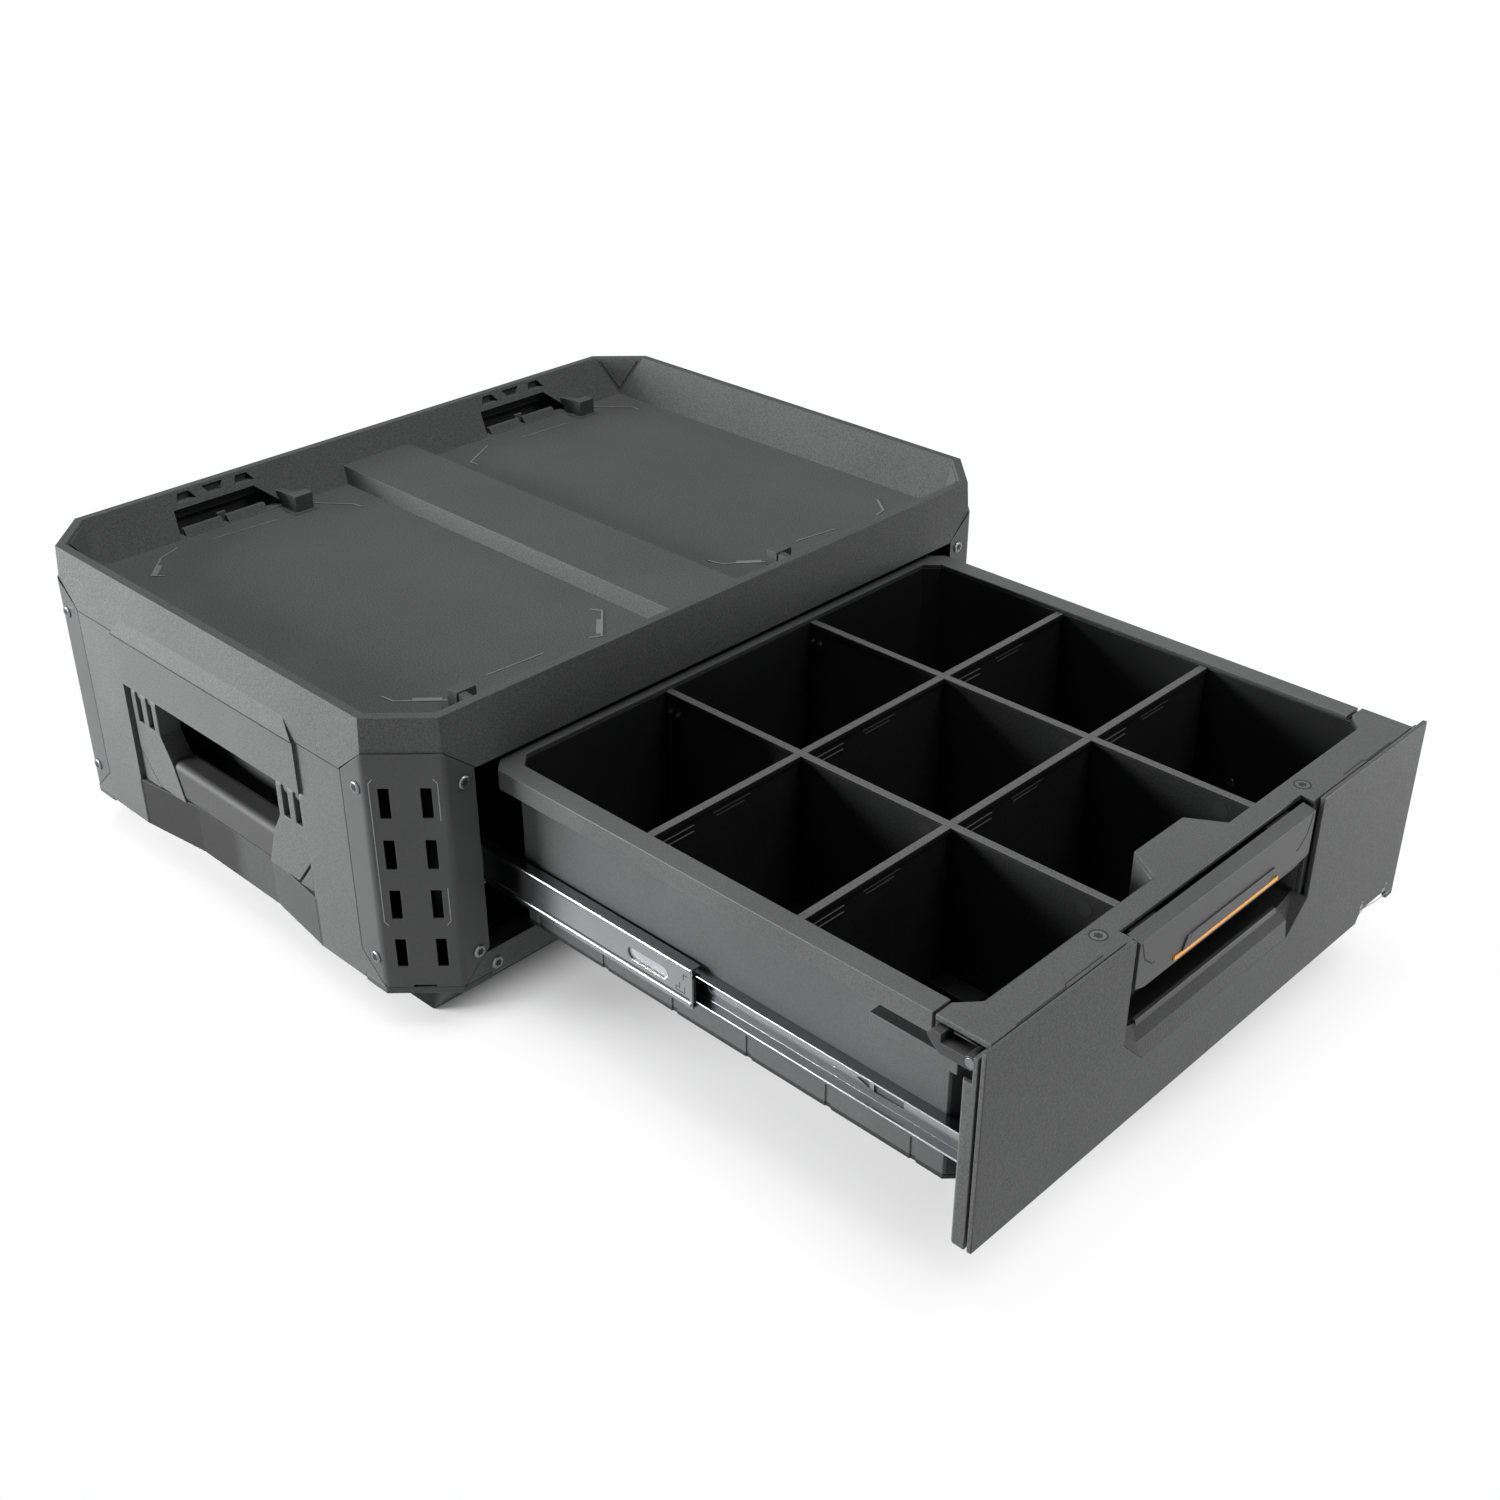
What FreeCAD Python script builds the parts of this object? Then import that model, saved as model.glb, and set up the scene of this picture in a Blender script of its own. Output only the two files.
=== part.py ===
import FreeCAD, Part
import math
import os
from FreeCAD import Vector

# Sizes in millimetres. X runs to the right of the front, Y to the back, Z up.
# The origin lies on the floor under the middle of the cabinet.

# Cabinet outline
BODY_WIDTH = 550.0
BODY_DEPTH = 410.0
BODY_HEIGHT = 220.0
CORNER_CHAMFER = 34.0
WALL = 4.0
OVERSHOOT = 1.0
TOUCH = 0.01

# Foot and floor plate
FOOT_HEIGHT = 30.0
FOOT_INSET = 31.0
FOOT_TOP_INSET = 10.0
FOOT_VALLEY = 7.0
FOOT_WALL = 5.0
LIP_ABOVE = 3.0
LIP_BELOW = 2.0

# Top cover with its stacking tray
COVER_HEIGHT = 40.5
RIM_DRAFT = 2.8
RIM_INSET = 9.0
TRAY_INSET = 30.0
TRAY_DEPTH = 28.0
DECK_THICK = 4.0
CAVITY_RISE = 12.0
BAND_HALF = 31.0
BAND_DRAFT = 3.0
BAND_HEIGHT = 12.0
LUG_NEAR_X = 86.0
LUG_FAR_MARGIN = 54.0
LUG_WALL_GAP = 15.0
LUG_LENGTH = 15.0
LUG_DEPTH = 9.0
LUG_HEIGHT = 13.0
POCKET_NEAR_X = 89.0
POCKET_WIDTH = 88.0
POCKET_SHIFT = 279.0
POCKET_SILL = 1.0
POCKET_HEIGHT = 17.0
POCKET_DEPTH = 7.0
POCKET_SLANT = 18.0
POCKET_LEFT_SLANT = 4.0
VENT_COUNT = 3
VENT_WIDTH = 17.0
VENT_PITCH = 24.0
VENT_START = 8.0
VENT_SLANT = 4.0
VENT_RISE = 20.5
VENT_HEIGHT = 5.5
VENT_DEPTH = 2.0
SIDE_LIP_MARGIN = 1.0
SIDE_LIP_SLANT = 12.5
SIDE_LIP_RISE = 14.5
SIDE_PROUD = 2.5

# Corner plates and posts
PLATE_THICK = 1.5
PLATE_REACH = 55.0
PLATE_ABOVE_COVER = 18.0
PLATE_WING_ABOVE = 0.5
PLATE_WING_RISE = 19.0
PLATE_BEND = 6.0
PLATE_SEAM = 0.5
PLATE_NOTCH_HALF = 7.0
PLATE_NOTCH_RISE = 1.6
POST_THICK = 4.0
JAMB_DEPTH = 47.0
SLOT_SPACING = 24.5
SLOT_WIDTH = 6.5
SLOT_HEIGHT = 20.4
SLOT_ROWS = 4
SLOT_LOW_MARGIN = 25.8
SLOT_HIGH_MARGIN = 14.5
WINDOW_MARGIN = 2.0
FACET_REACH = 12.0

# Screws
SCREW_HEAD = 4.2
SCREW_HEAD_RISE = 1.4
SCREW_SHANK = 1.6
SCREW_SOCKET = 2.0
SCREW_SOCKET_DEPTH = 1.0
SCREW_ABOVE_BASE = 20.0
SCREW_BELOW_COVER = 5.8
SCREW_FRONT_REACH = 46.8
SCREW_SIDE_REACH = 40.5
RAIL_SCREW_INSET = 4.5
RAIL_SCREW_RISE = 8.0
RAIL_DEPTH = 15.0
RAIL_HEIGHT = 19.0
RAIL_RIBS = 5

# Side panel with its handle recess
RECESS_HALF = 103.0
RECESS_DEPTH = 41.0
RECESS_BELOW_COVER = 35.5
PANEL_PROUD_MARGIN = 2.0
LOWER_RECESS = 7.5
LOWER_FLAT_HALF = 44.0
BACK_FIELD_INSET = 34.0
BACK_FIELD_DEPTH = 1.5

# Carrying handle
HANDLE_FACE = 3.0
HANDLE_THICK = 16.0
HANDLE_PIN = 2.5
HANDLE_PIN_PLAY = 0.06
HANDLE_SIDE_GAP = 2.0
HANDLE_TOP_GAP = 10.0
HANDLE_FLOOR_GAP = 2.0
HANDLE_DROP = 66.0
HANDLE_LEG_WIDTH = 31.0
HANDLE_SHOULDER_RISE = 24.0
HANDLE_SHOULDER_RUN = 19.0
HANDLE_CROOK_RISE = 16.0
GRIP_HEIGHT = 28.0
GRIP_LEG_GAP = 10.0
GRIP_SLANT = 10.0
GRIP_CORE_MARGIN = 6.0
GRIP_CORE_BACK = 3.0
GRIP_ROUND = 5.0
GRIP_BACK = 4.0
GRIP_FRONT = 1.0
GRIP_SEAM = 0.2
HINGE_SLOT_OUTER = 9.0
HINGE_SLOT_SPACING = 13.0
HINGE_SLOT_WIDTH = 6.5
HINGE_SLOT_DROP = 20.0
HINGE_TAB_PLAY = 0.3
HINGE_TAB_ROUND = 6.5

# Drawer front
OPENING_GAP = 2.0
SIDE_GAP = 2.5
SKIN_THICK = 3.0
SKIN_GAP = 1.5
SKIN_EDGE = 4.0
FRAME_WEB = 3.0
FRAME_RETURN = 3.0
FRAME_DEPTH = 14.0
FRAME_CHAMFER = 2.0
CAP_DROP = 1.5
CAP_THICK = 3.5
CAP_OVERLAP = 0.5
CAP_SIDE_END = 38.0
CAP_REAR_SETBACK = 0.5
CAP_NOTCH_INSET = 1.0
CAP_CORNER = 11.5
HUMP_HALF = 37.0
HUMP_SLANT = 13.0
HUMP_DEPTH = 21.5
HUMP_HEIGHT = 72.5
HUMP_WALL = 2.5
CAP_SCREW_INSET = 7.5
CAP_SCREW_BACK = 18.5
CAP_SCREW_LENGTH = 12.0
CAP_SCREW_HEAD = 4.6
PULL_HALF = 94.0
PULL_SLANT = 19.0
PULL_ABOVE_EDGE = 40.0
PULL_CORNER_RISE = 19.0
PULL_RIM = 3.0
PULL_CEILING_DROP = 12.0
BUCKET_WALL = 2.5
RAMP_FOOT = 3.2
RAMP_HEAD = 8.0
RAMP_BACK = 10.5
NOTCH_MARGIN = 7.5
NOTCH_WIDTH = 40.0
NOTCH_HEIGHT = 8.0
NOTCH_SLANT = 4.0

# Drawer latch
LATCH_BACK = 12.0
LATCH_DROP = 8.5
SHAFT_RADIUS = 3.0
SHAFT_PLAY = 0.06
BEARING_BACK = 23.5
BEARING_WIDTH = 9.0
BEARING_INSET = 8.5
BEARING_DROP = 9.0
PADDLE_SIDE_GAP = 3.0
PADDLE_TOP_GAP = 2.0
PADDLE_BEVEL = 2.0
PADDLE_DROP = 27.0
PADDLE_FRONT = 1.5
PADDLE_BACK = 6.5
PADDLE_TOP_BACK = 10.0
PADDLE_CORNER = 12.0
PADDLE_CORNER_RISE = 6.0
PADDLE_HUB = 6.0
PADDLE_HUB_INSET = 8.0
PADDLE_HUB_LENGTH = 24.0
PADDLE_SWEEP = 13.4
PADDLE_LIP_INSET = 7.5
PADDLE_LIP_SLANT = 4.0
PADDLE_LIP_RISE = 8.0
PADDLE_LIP_PROUD = 1.0
STRIP_HALF = 52.5
STRIP_RISE = 5.6
STRIP_HEIGHT = 2.4
STRIP_THICK = 0.9
HOOK_SIDE_GAP = 6.0
HOOK_WIDTH = 10.5
HOOK_WEB_GAP = 0.5
HOOK_POCKET = 2.5
HOOK_BARB_Z = 7.5
HOOK_BARB_Y = 17.5
HOOK_TIP_Y = 26.3
HOOK_WINDOW_DROP = 8.0
STRIKE_RISE = 4.3
STRIKE_THICK = 4.7
STRIKE_REACH = 10.5
STRIKE_WIDTH = 8.5
STRIKE_SETBACK = 1.0
STRIKE_PLATE = 1.5
STRIKE_PLATE_MARGIN = 10.0

# Drawer tub
TUB_WALL = 3.0
TUB_FRONT = 25.0
TUB_REAR_ROOM = 40.0
TUB_RAIL_GAP = 14.7
TUB_CHAMFER = 11.0
RIM_DROP = 0.5
RIM_SIDE_GAP = 1.5
RIM_LIP = 13.5
RIM_CAP_GAP = 2.0
RIM_REAR = 4.0
RIM_CHAMFER = 9.0
GROOVE_COUNT = 6
GROOVE_FIRST = 55.5
GROOVE_REAR_MARGIN = 20.75
GROOVE_WIDTH = 4.0
GROOVE_DEPTH = 0.8
GROOVE_HEIGHT = 15.3
EAR_HEIGHT = 17.0
EAR_SHAFT_GAP = 1.0
SIDE_RIB_DROP = 19.0
SIDE_RIB_THICK = 8.5
SIDE_RIB_OUT = 10.0
SIDE_RIB_FRONT = 24.0
SIDE_RIB_BACK = 80.0
DIVIDER_THICK = 3.0
DIVIDER_DROP = 2.9
DIVIDER_X = 67.4
BEAD_WIDTH = 5.5
BEAD_HEIGHT = 3.5
MARK_COUNT = 2
MARK_LENGTH = 26.0
MARK_HEIGHT = 1.2
MARK_PITCH = 4.0
MARK_DROP = 9.0
MARK_PROUD = 0.7

# Drawer slides
SLIDE_RISE = 34.3
SLIDE_THICK = 12.5
SLIDE_SHEET = 1.2
SLIDE_OUTER_HALF = 17.5
SLIDE_MIDDLE_HALF = 13.5
SLIDE_INNER_HALF = 9.5
SLIDE_FRONT = 22.0
SLIDE_REAR_ROOM = 38.0
SLIDE_OVERTRAVEL = 20.5
SLIDE_FRAME_GAP = 2.0
SLIDE_WALL_INSET = 11.0
SLIDE_WALL_FRONT = 20.0
SLIDE_WALL_REAR = 20.0
SLIDE_NOTCH_DROP = 12.0
SLIDE_MIDDLE_WEB = 3.0
SLIDE_MIDDLE_FLANGE = 7.2
SLIDE_OUTER_FLANGE = 9.5
SLIDE_INNER_FLANGE = 7.1
SLIDE_OVAL_LENGTH = 33.0
SLIDE_OVAL_HALF = 4.0
SLIDE_OVAL_BACK = 36.0
INNER_WINDOW_START = 62.0
INNER_WINDOW_LENGTH = 20.0
INNER_WINDOW_HEIGHT = 6.0
STOP_LENGTH = 7.0
STOP_NOSE = 1.4
STOP_HALF = 8.0
STOP_THICK = 0.7
RIVET_RADIUS = 2.5
RIVET_FRONT = 30.0
RIVET_REAR_MARGIN = 60.0
INNER_RIVET_FRONT = 110.0
INNER_RIVET_MIDDLE = 200.0
INNER_RIVET_REAR_MARGIN = 46.0
CAGE_LENGTH = 120.0
CAGE_SHEET = 0.6
CAGE_BAR = 1.0
BALL_RADIUS = 1.15
BALL_PLAY = 0.12
BALL_COUNT = 7
BALL_PITCH = 16.0

# Heights that follow from the sizes above
COVER_Z = BODY_HEIGHT - COVER_HEIGHT
DECK_Z = BODY_HEIGHT - TRAY_DEPTH
DECK_UNDER = DECK_Z - DECK_THICK
BASE_TOP = FOOT_HEIGHT + LIP_ABOVE
BASE_UNDER = FOOT_HEIGHT - LIP_BELOW
PLATE_BOTTOM = BASE_TOP
PLATE_TOP = COVER_Z + PLATE_ABOVE_COVER
PLATE_WING_LOW = PLATE_BOTTOM + PLATE_WING_RISE
PLATE_WING_TOP = COVER_Z + PLATE_WING_ABOVE
SLOT_LOWEST = BASE_TOP + SLOT_LOW_MARGIN
SLOT_PITCH = (COVER_Z - SLOT_HIGH_MARGIN - SLOT_LOWEST) / (SLOT_ROWS - 1)
SCREW_LOW_Z = BASE_TOP + SCREW_ABOVE_BASE
SCREW_HIGH_Z = COVER_Z - SCREW_BELOW_COVER
RAIL_SCREW_Z = FOOT_HEIGHT + RAIL_SCREW_RISE
RAIL_TOP = FOOT_HEIGHT + RAIL_HEIGHT
RECESS_TOP = COVER_Z - RECESS_BELOW_COVER
HANDLE_PIN_Z = RECESS_TOP - HANDLE_TOP_GAP
HANDLE_BOTTOM_Z = HANDLE_PIN_Z - HANDLE_DROP
RECESS_FLOOR = HANDLE_BOTTOM_Z - HANDLE_FLOOR_GAP
HANDLE_SHOULDER_Z = HANDLE_BOTTOM_Z + HANDLE_SHOULDER_RISE
GRIP_TOP_Z = HANDLE_BOTTOM_Z + GRIP_HEIGHT
HANDLE_CROOK_Z = GRIP_TOP_Z + HANDLE_CROOK_RISE
HINGE_SLOT_LOW = HANDLE_PIN_Z - HINGE_SLOT_DROP
FRONT_LOW = RAIL_TOP + OPENING_GAP
FRONT_HIGH = COVER_Z - OPENING_GAP
CAP_TOP = FRONT_HIGH - CAP_DROP
CAP_UNDER = CAP_TOP - CAP_THICK
RIM_TOP = CAP_TOP - RIM_DROP
RIM_LIP_LOW = RIM_TOP - RIM_LIP
HUMP_BOTTOM = CAP_UNDER - HUMP_HEIGHT
LATCH_Z = CAP_UNDER - LATCH_DROP
PULL_BOTTOM = FRONT_LOW + PULL_ABOVE_EDGE
PULL_CORNER_Z = PULL_BOTTOM + PULL_CORNER_RISE
PULL_CEILING = LATCH_Z - PULL_CEILING_DROP
PADDLE_TOP = CAP_TOP - PADDLE_TOP_GAP
PADDLE_BOTTOM = LATCH_Z - PADDLE_DROP
STRIP_LOW_Z = PADDLE_BOTTOM + STRIP_RISE
STRIP_TOP_Z = STRIP_LOW_Z + STRIP_HEIGHT
HOOK_WINDOW_LOW = LATCH_Z - HOOK_WINDOW_DROP
STRIKE_Z = LATCH_Z + STRIKE_RISE
TUB_BOTTOM = RAIL_TOP + TUB_RAIL_GAP
TUB_FLOOR = TUB_BOTTOM + TUB_WALL
GROOVE_TOP = TUB_BOTTOM + GROOVE_HEIGHT
EAR_TOP = LATCH_Z - SHAFT_RADIUS - EAR_SHAFT_GAP
EAR_LOW = EAR_TOP - EAR_HEIGHT
SIDE_RIB_Z = LATCH_Z - SIDE_RIB_DROP
DIVIDER_TOP = RIM_TOP - DIVIDER_DROP
SLIDE_Z = TUB_BOTTOM + SLIDE_RISE
SLIDE_NOTCH_Z = LATCH_Z - SLIDE_NOTCH_DROP

# Places across the width that follow from the sizes above
HALF_W = BODY_WIDTH / 2
OPENING_HALF = HALF_W - PLATE_REACH
SEAT_INSET = LOWER_RECESS + WALL
LUG_FAR_X = HALF_W - TRAY_INSET - LUG_FAR_MARGIN
BAND_FOOT_HALF = BAND_HALF + BAND_DRAFT
FRAME_HALF = OPENING_HALF - SIDE_GAP
SLIDE_WALL_X = OPENING_HALF - SLIDE_WALL_INSET
TUB_HALF = SLIDE_WALL_X - SLIDE_THICK
RIM_HALF = SLIDE_WALL_X - RIM_SIDE_GAP
CAP_HALF = RIM_HALF + CAP_OVERLAP
CAP_NOTCH_HALF = TUB_HALF - CAP_NOTCH_INSET
CAP_SCREW_X = PULL_HALF + CAP_SCREW_INSET
HUMP_TOP_HALF = HUMP_HALF - HUMP_SLANT
PULL_LOW_HALF = PULL_HALF - PULL_SLANT
PADDLE_HALF = PULL_HALF - PULL_RIM - PADDLE_SIDE_GAP
PADDLE_HUB_END = PADDLE_HALF - PADDLE_HUB_INSET
PADDLE_LIP_HALF = STRIP_HALF - PADDLE_LIP_INSET
PADDLE_LIP_TOP_HALF = PADDLE_LIP_HALF - PADDLE_LIP_SLANT
BEARING_OUTER_X = TUB_HALF - BEARING_INSET
HOOK_OUTER_X = OPENING_HALF - HOOK_SIDE_GAP
NOTCH_RIGHT = FRAME_HALF - NOTCH_MARGIN
NOTCH_LEFT = NOTCH_RIGHT - NOTCH_WIDTH
HANDLE_PIN_X = HALF_W - HANDLE_FACE - HANDLE_THICK / 2

# Places along the depth that follow from the sizes above
HALF_D = BODY_DEPTH / 2
LUG_Y = HALF_D - TRAY_INSET - LUG_WALL_GAP
PANEL_PROUD_HALF = RECESS_HALF + PANEL_PROUD_MARGIN
SIDE_LIP_HALF = PANEL_PROUD_HALF - SIDE_LIP_MARGIN
SIDE_LIP_TOP_HALF = SIDE_LIP_HALF - SIDE_LIP_SLANT
HANDLE_HALF = RECESS_HALF - HANDLE_SIDE_GAP
HANDLE_LEG_INNER = HANDLE_HALF - HANDLE_LEG_WIDTH
HANDLE_BOTTOM_HALF = HANDLE_HALF - HANDLE_SHOULDER_RUN
GRIP_HALF = HANDLE_LEG_INNER - GRIP_LEG_GAP
GRIP_LOW_HALF = GRIP_HALF - GRIP_SLANT
HINGE_SLOT_FAR = HANDLE_HALF - HINGE_SLOT_OUTER
HINGE_SLOT_NEAR = HINGE_SLOT_FAR - HINGE_SLOT_SPACING
SLIDE_LENGTH = BODY_DEPTH - SLIDE_FRONT - SLIDE_REAR_ROOM
DRAWER_TRAVEL = SLIDE_LENGTH + SLIDE_OVERTRAVEL
FRONT_Y = -HALF_D - DRAWER_TRAVEL
FRAME_FACE = SKIN_THICK + SKIN_GAP
WEB_BACK = FRAME_FACE + FRAME_WEB
LATCH_Y = FRONT_Y + LATCH_BACK
HOOK_BOSS = LATCH_BACK - WEB_BACK - HOOK_WEB_GAP
CAP_REAR = TUB_FRONT + TUB_WALL - CAP_REAR_SETBACK
HUMP_REAR = CAP_REAR + HUMP_DEPTH
TUB_LENGTH = BODY_DEPTH - TUB_FRONT - TUB_REAR_ROOM
TUB_FRONT_Y = FRONT_Y + TUB_FRONT
TUB_REAR_Y = TUB_FRONT_Y + TUB_LENGTH
CELL_LENGTH = (TUB_LENGTH - TUB_WALL * 2) / 3
GROOVE_SPAN = TUB_FRONT + TUB_LENGTH - GROOVE_REAR_MARGIN - GROOVE_FIRST
RIM_FRONT = CAP_SIDE_END + RIM_CAP_GAP
RIM_THICK = CAP_THICK - RIM_DROP
INNER_SLIDE_FRONT = FRAME_DEPTH + SLIDE_FRAME_GAP
INNER_RIVET_REAR = INNER_SLIDE_FRONT + SLIDE_LENGTH - INNER_RIVET_REAR_MARGIN
RIVET_REAR = SLIDE_LENGTH - RIVET_REAR_MARGIN
RIVET_MIDDLE = (RIVET_FRONT + RIVET_REAR) / 2
TURN = math.sqrt(2) - 1


def box(x0, x1, y0, y1, z0, z1):
    return Part.makeBox(x1 - x0, y1 - y0, z1 - z0, Vector(x0, y0, z0))


def prism(points, sweep):
    return Part.Face(Part.makePolygon(points + [points[0]])).extrude(sweep)


def prism_x(outline, x0, x1):
    return prism([Vector(x0, y, z) for y, z in outline], Vector(x1 - x0, 0, 0))


def prism_y(outline, y0, y1):
    return prism([Vector(x, y0, z) for x, z in outline], Vector(0, y1 - y0, 0))


def prism_z(outline, z0, z1):
    return prism([Vector(x, y, z0) for x, y in outline], Vector(0, 0, z1 - z0))


def rod_x(y, z, radius, x0, x1):
    return Part.makeCylinder(radius, x1 - x0, Vector(x0, y, z), Vector(1, 0, 0))


def rod_y(x, z, radius, y0, y1):
    return Part.makeCylinder(radius, y1 - y0, Vector(x, y0, z), Vector(0, 1, 0))


def rod_z(x, y, radius, z0, z1):
    return Part.makeCylinder(radius, z1 - z0, Vector(x, y, z0), Vector(0, 0, 1))


def joined(shapes):
    return shapes[0].fuse(shapes[1:]).removeSplitter()


def flip_x(shape):
    return shape.mirror(Vector(0, 0, 0), Vector(1, 0, 0))


def flip_y(shape):
    return shape.mirror(Vector(0, 0, 0), Vector(0, 1, 0))


def both_sides(shape):
    return [shape, flip_x(shape)]


def solid_of(faces):
    shell = Part.makeShell([Part.Face(Part.makePolygon(face + [face[0]])) for face in faces])
    shell.sewShape()
    solid = Part.makeSolid(shell)
    if solid.Volume < 0:
        solid.reverse()
    return solid


def raised(outline, z):
    return [Vector(x, y, z) for x, y in outline]


def prismatoid(lower, z0, upper, z1):
    low = raised(lower, z0)
    high = raised(upper, z1)
    count = len(low)
    sides = [[low[i], low[(i + 1) % count], high[(i + 1) % count], high[i]] for i in range(count)]
    return solid_of([low, high] + sides)


def octagon(inset):
    half_x = HALF_W - inset
    half_y = HALF_D - inset
    cut = CORNER_CHAMFER - inset * (1 - TURN)
    return cut_rectangle(half_x, -half_y, half_y, cut)


def cut_rectangle(half_x, y0, y1, cut):
    return [
        (-half_x + cut, y0),
        (half_x - cut, y0),
        (half_x, y0 + cut),
        (half_x, y1 - cut),
        (half_x - cut, y1),
        (-half_x + cut, y1),
        (-half_x, y1 - cut),
        (-half_x, y0 + cut),
    ]


def corner_bridge(ring, rectangle, z_ring, z_rectangle):
    outer = raised(ring, z_ring)
    inner = raised(rectangle, z_rectangle)
    per_corner = len(outer) // 4
    faces = [outer, inner]
    for i in range(4):
        start = outer[(i * per_corner) % len(outer)]
        end = outer[(i * per_corner + 1) % len(outer)]
        faces.append([start, end, inner[(i + 1) % 4], inner[i]])
        for step in range(1, per_corner):
            first = outer[(i * per_corner + step) % len(outer)]
            second = outer[(i * per_corner + step + 1) % len(outer)]
            faces.append([first, second, inner[(i + 1) % 4]])
    return solid_of(faces)


def rectangle_corners(half_x, half_y):
    return [(-half_x, -half_y), (half_x, -half_y), (half_x, half_y), (-half_x, half_y)]


def tray_hollow(widen, deepen):
    rise = 1 + OVERSHOOT / TRAY_DEPTH
    inset = TRAY_INSET - (TRAY_INSET - RIM_INSET) * rise - widen
    full_cut = CORNER_CHAMFER - RIM_INSET * (1 - TURN)
    ring = cut_rectangle(HALF_W - inset, -HALF_D + inset, HALF_D - inset, full_cut * rise)
    floor = rectangle_corners(HALF_W - TRAY_INSET + widen, HALF_D - TRAY_INSET + widen)
    return corner_bridge(ring, floor, DECK_Z + TRAY_DEPTH * rise - deepen, DECK_Z - deepen)


def corner_sheet(outer, inner, grow):
    bend_out = CORNER_CHAMFER + TURN * outer
    bend_in = CORNER_CHAMFER + TURN * inner
    low = PLATE_BOTTOM - grow
    high = PLATE_TOP + grow
    end = PLATE_REACH + grow
    wing_low = PLATE_WING_LOW - grow
    wing_high = PLATE_WING_TOP + grow
    facet = [(bend_out, outer), (bend_in, inner), (inner, bend_in), (outer, bend_out)]
    facet = prism_z([(u - HALF_W, v - HALF_D) for u, v in facet], low, high)
    wing = [(CORNER_CHAMFER, low), (end, wing_low), (end, wing_high), (CORNER_CHAMFER, high)]
    front = prism_y([(u - HALF_W, z) for u, z in wing], outer - HALF_D, inner - HALF_D)
    side = prism_x([(v - HALF_D, z) for v, z in wing], outer - HALF_W, inner - HALF_W)
    return joined([facet, front, side])


def all_corners(shape):
    pair = [shape, flip_x(shape)]
    return pair + [flip_y(item) for item in pair]


def facet_block(centre, half_width, z0, z1):
    block = box(centre - half_width, centre + half_width, -FACET_REACH, FACET_REACH, z0, z1)
    block.rotate(Vector(0, 0, 0), Vector(0, 0, 1), -45)
    middle = CORNER_CHAMFER / 2
    block.translate(Vector(middle - HALF_W, middle - HALF_D, 0))
    return block


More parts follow.
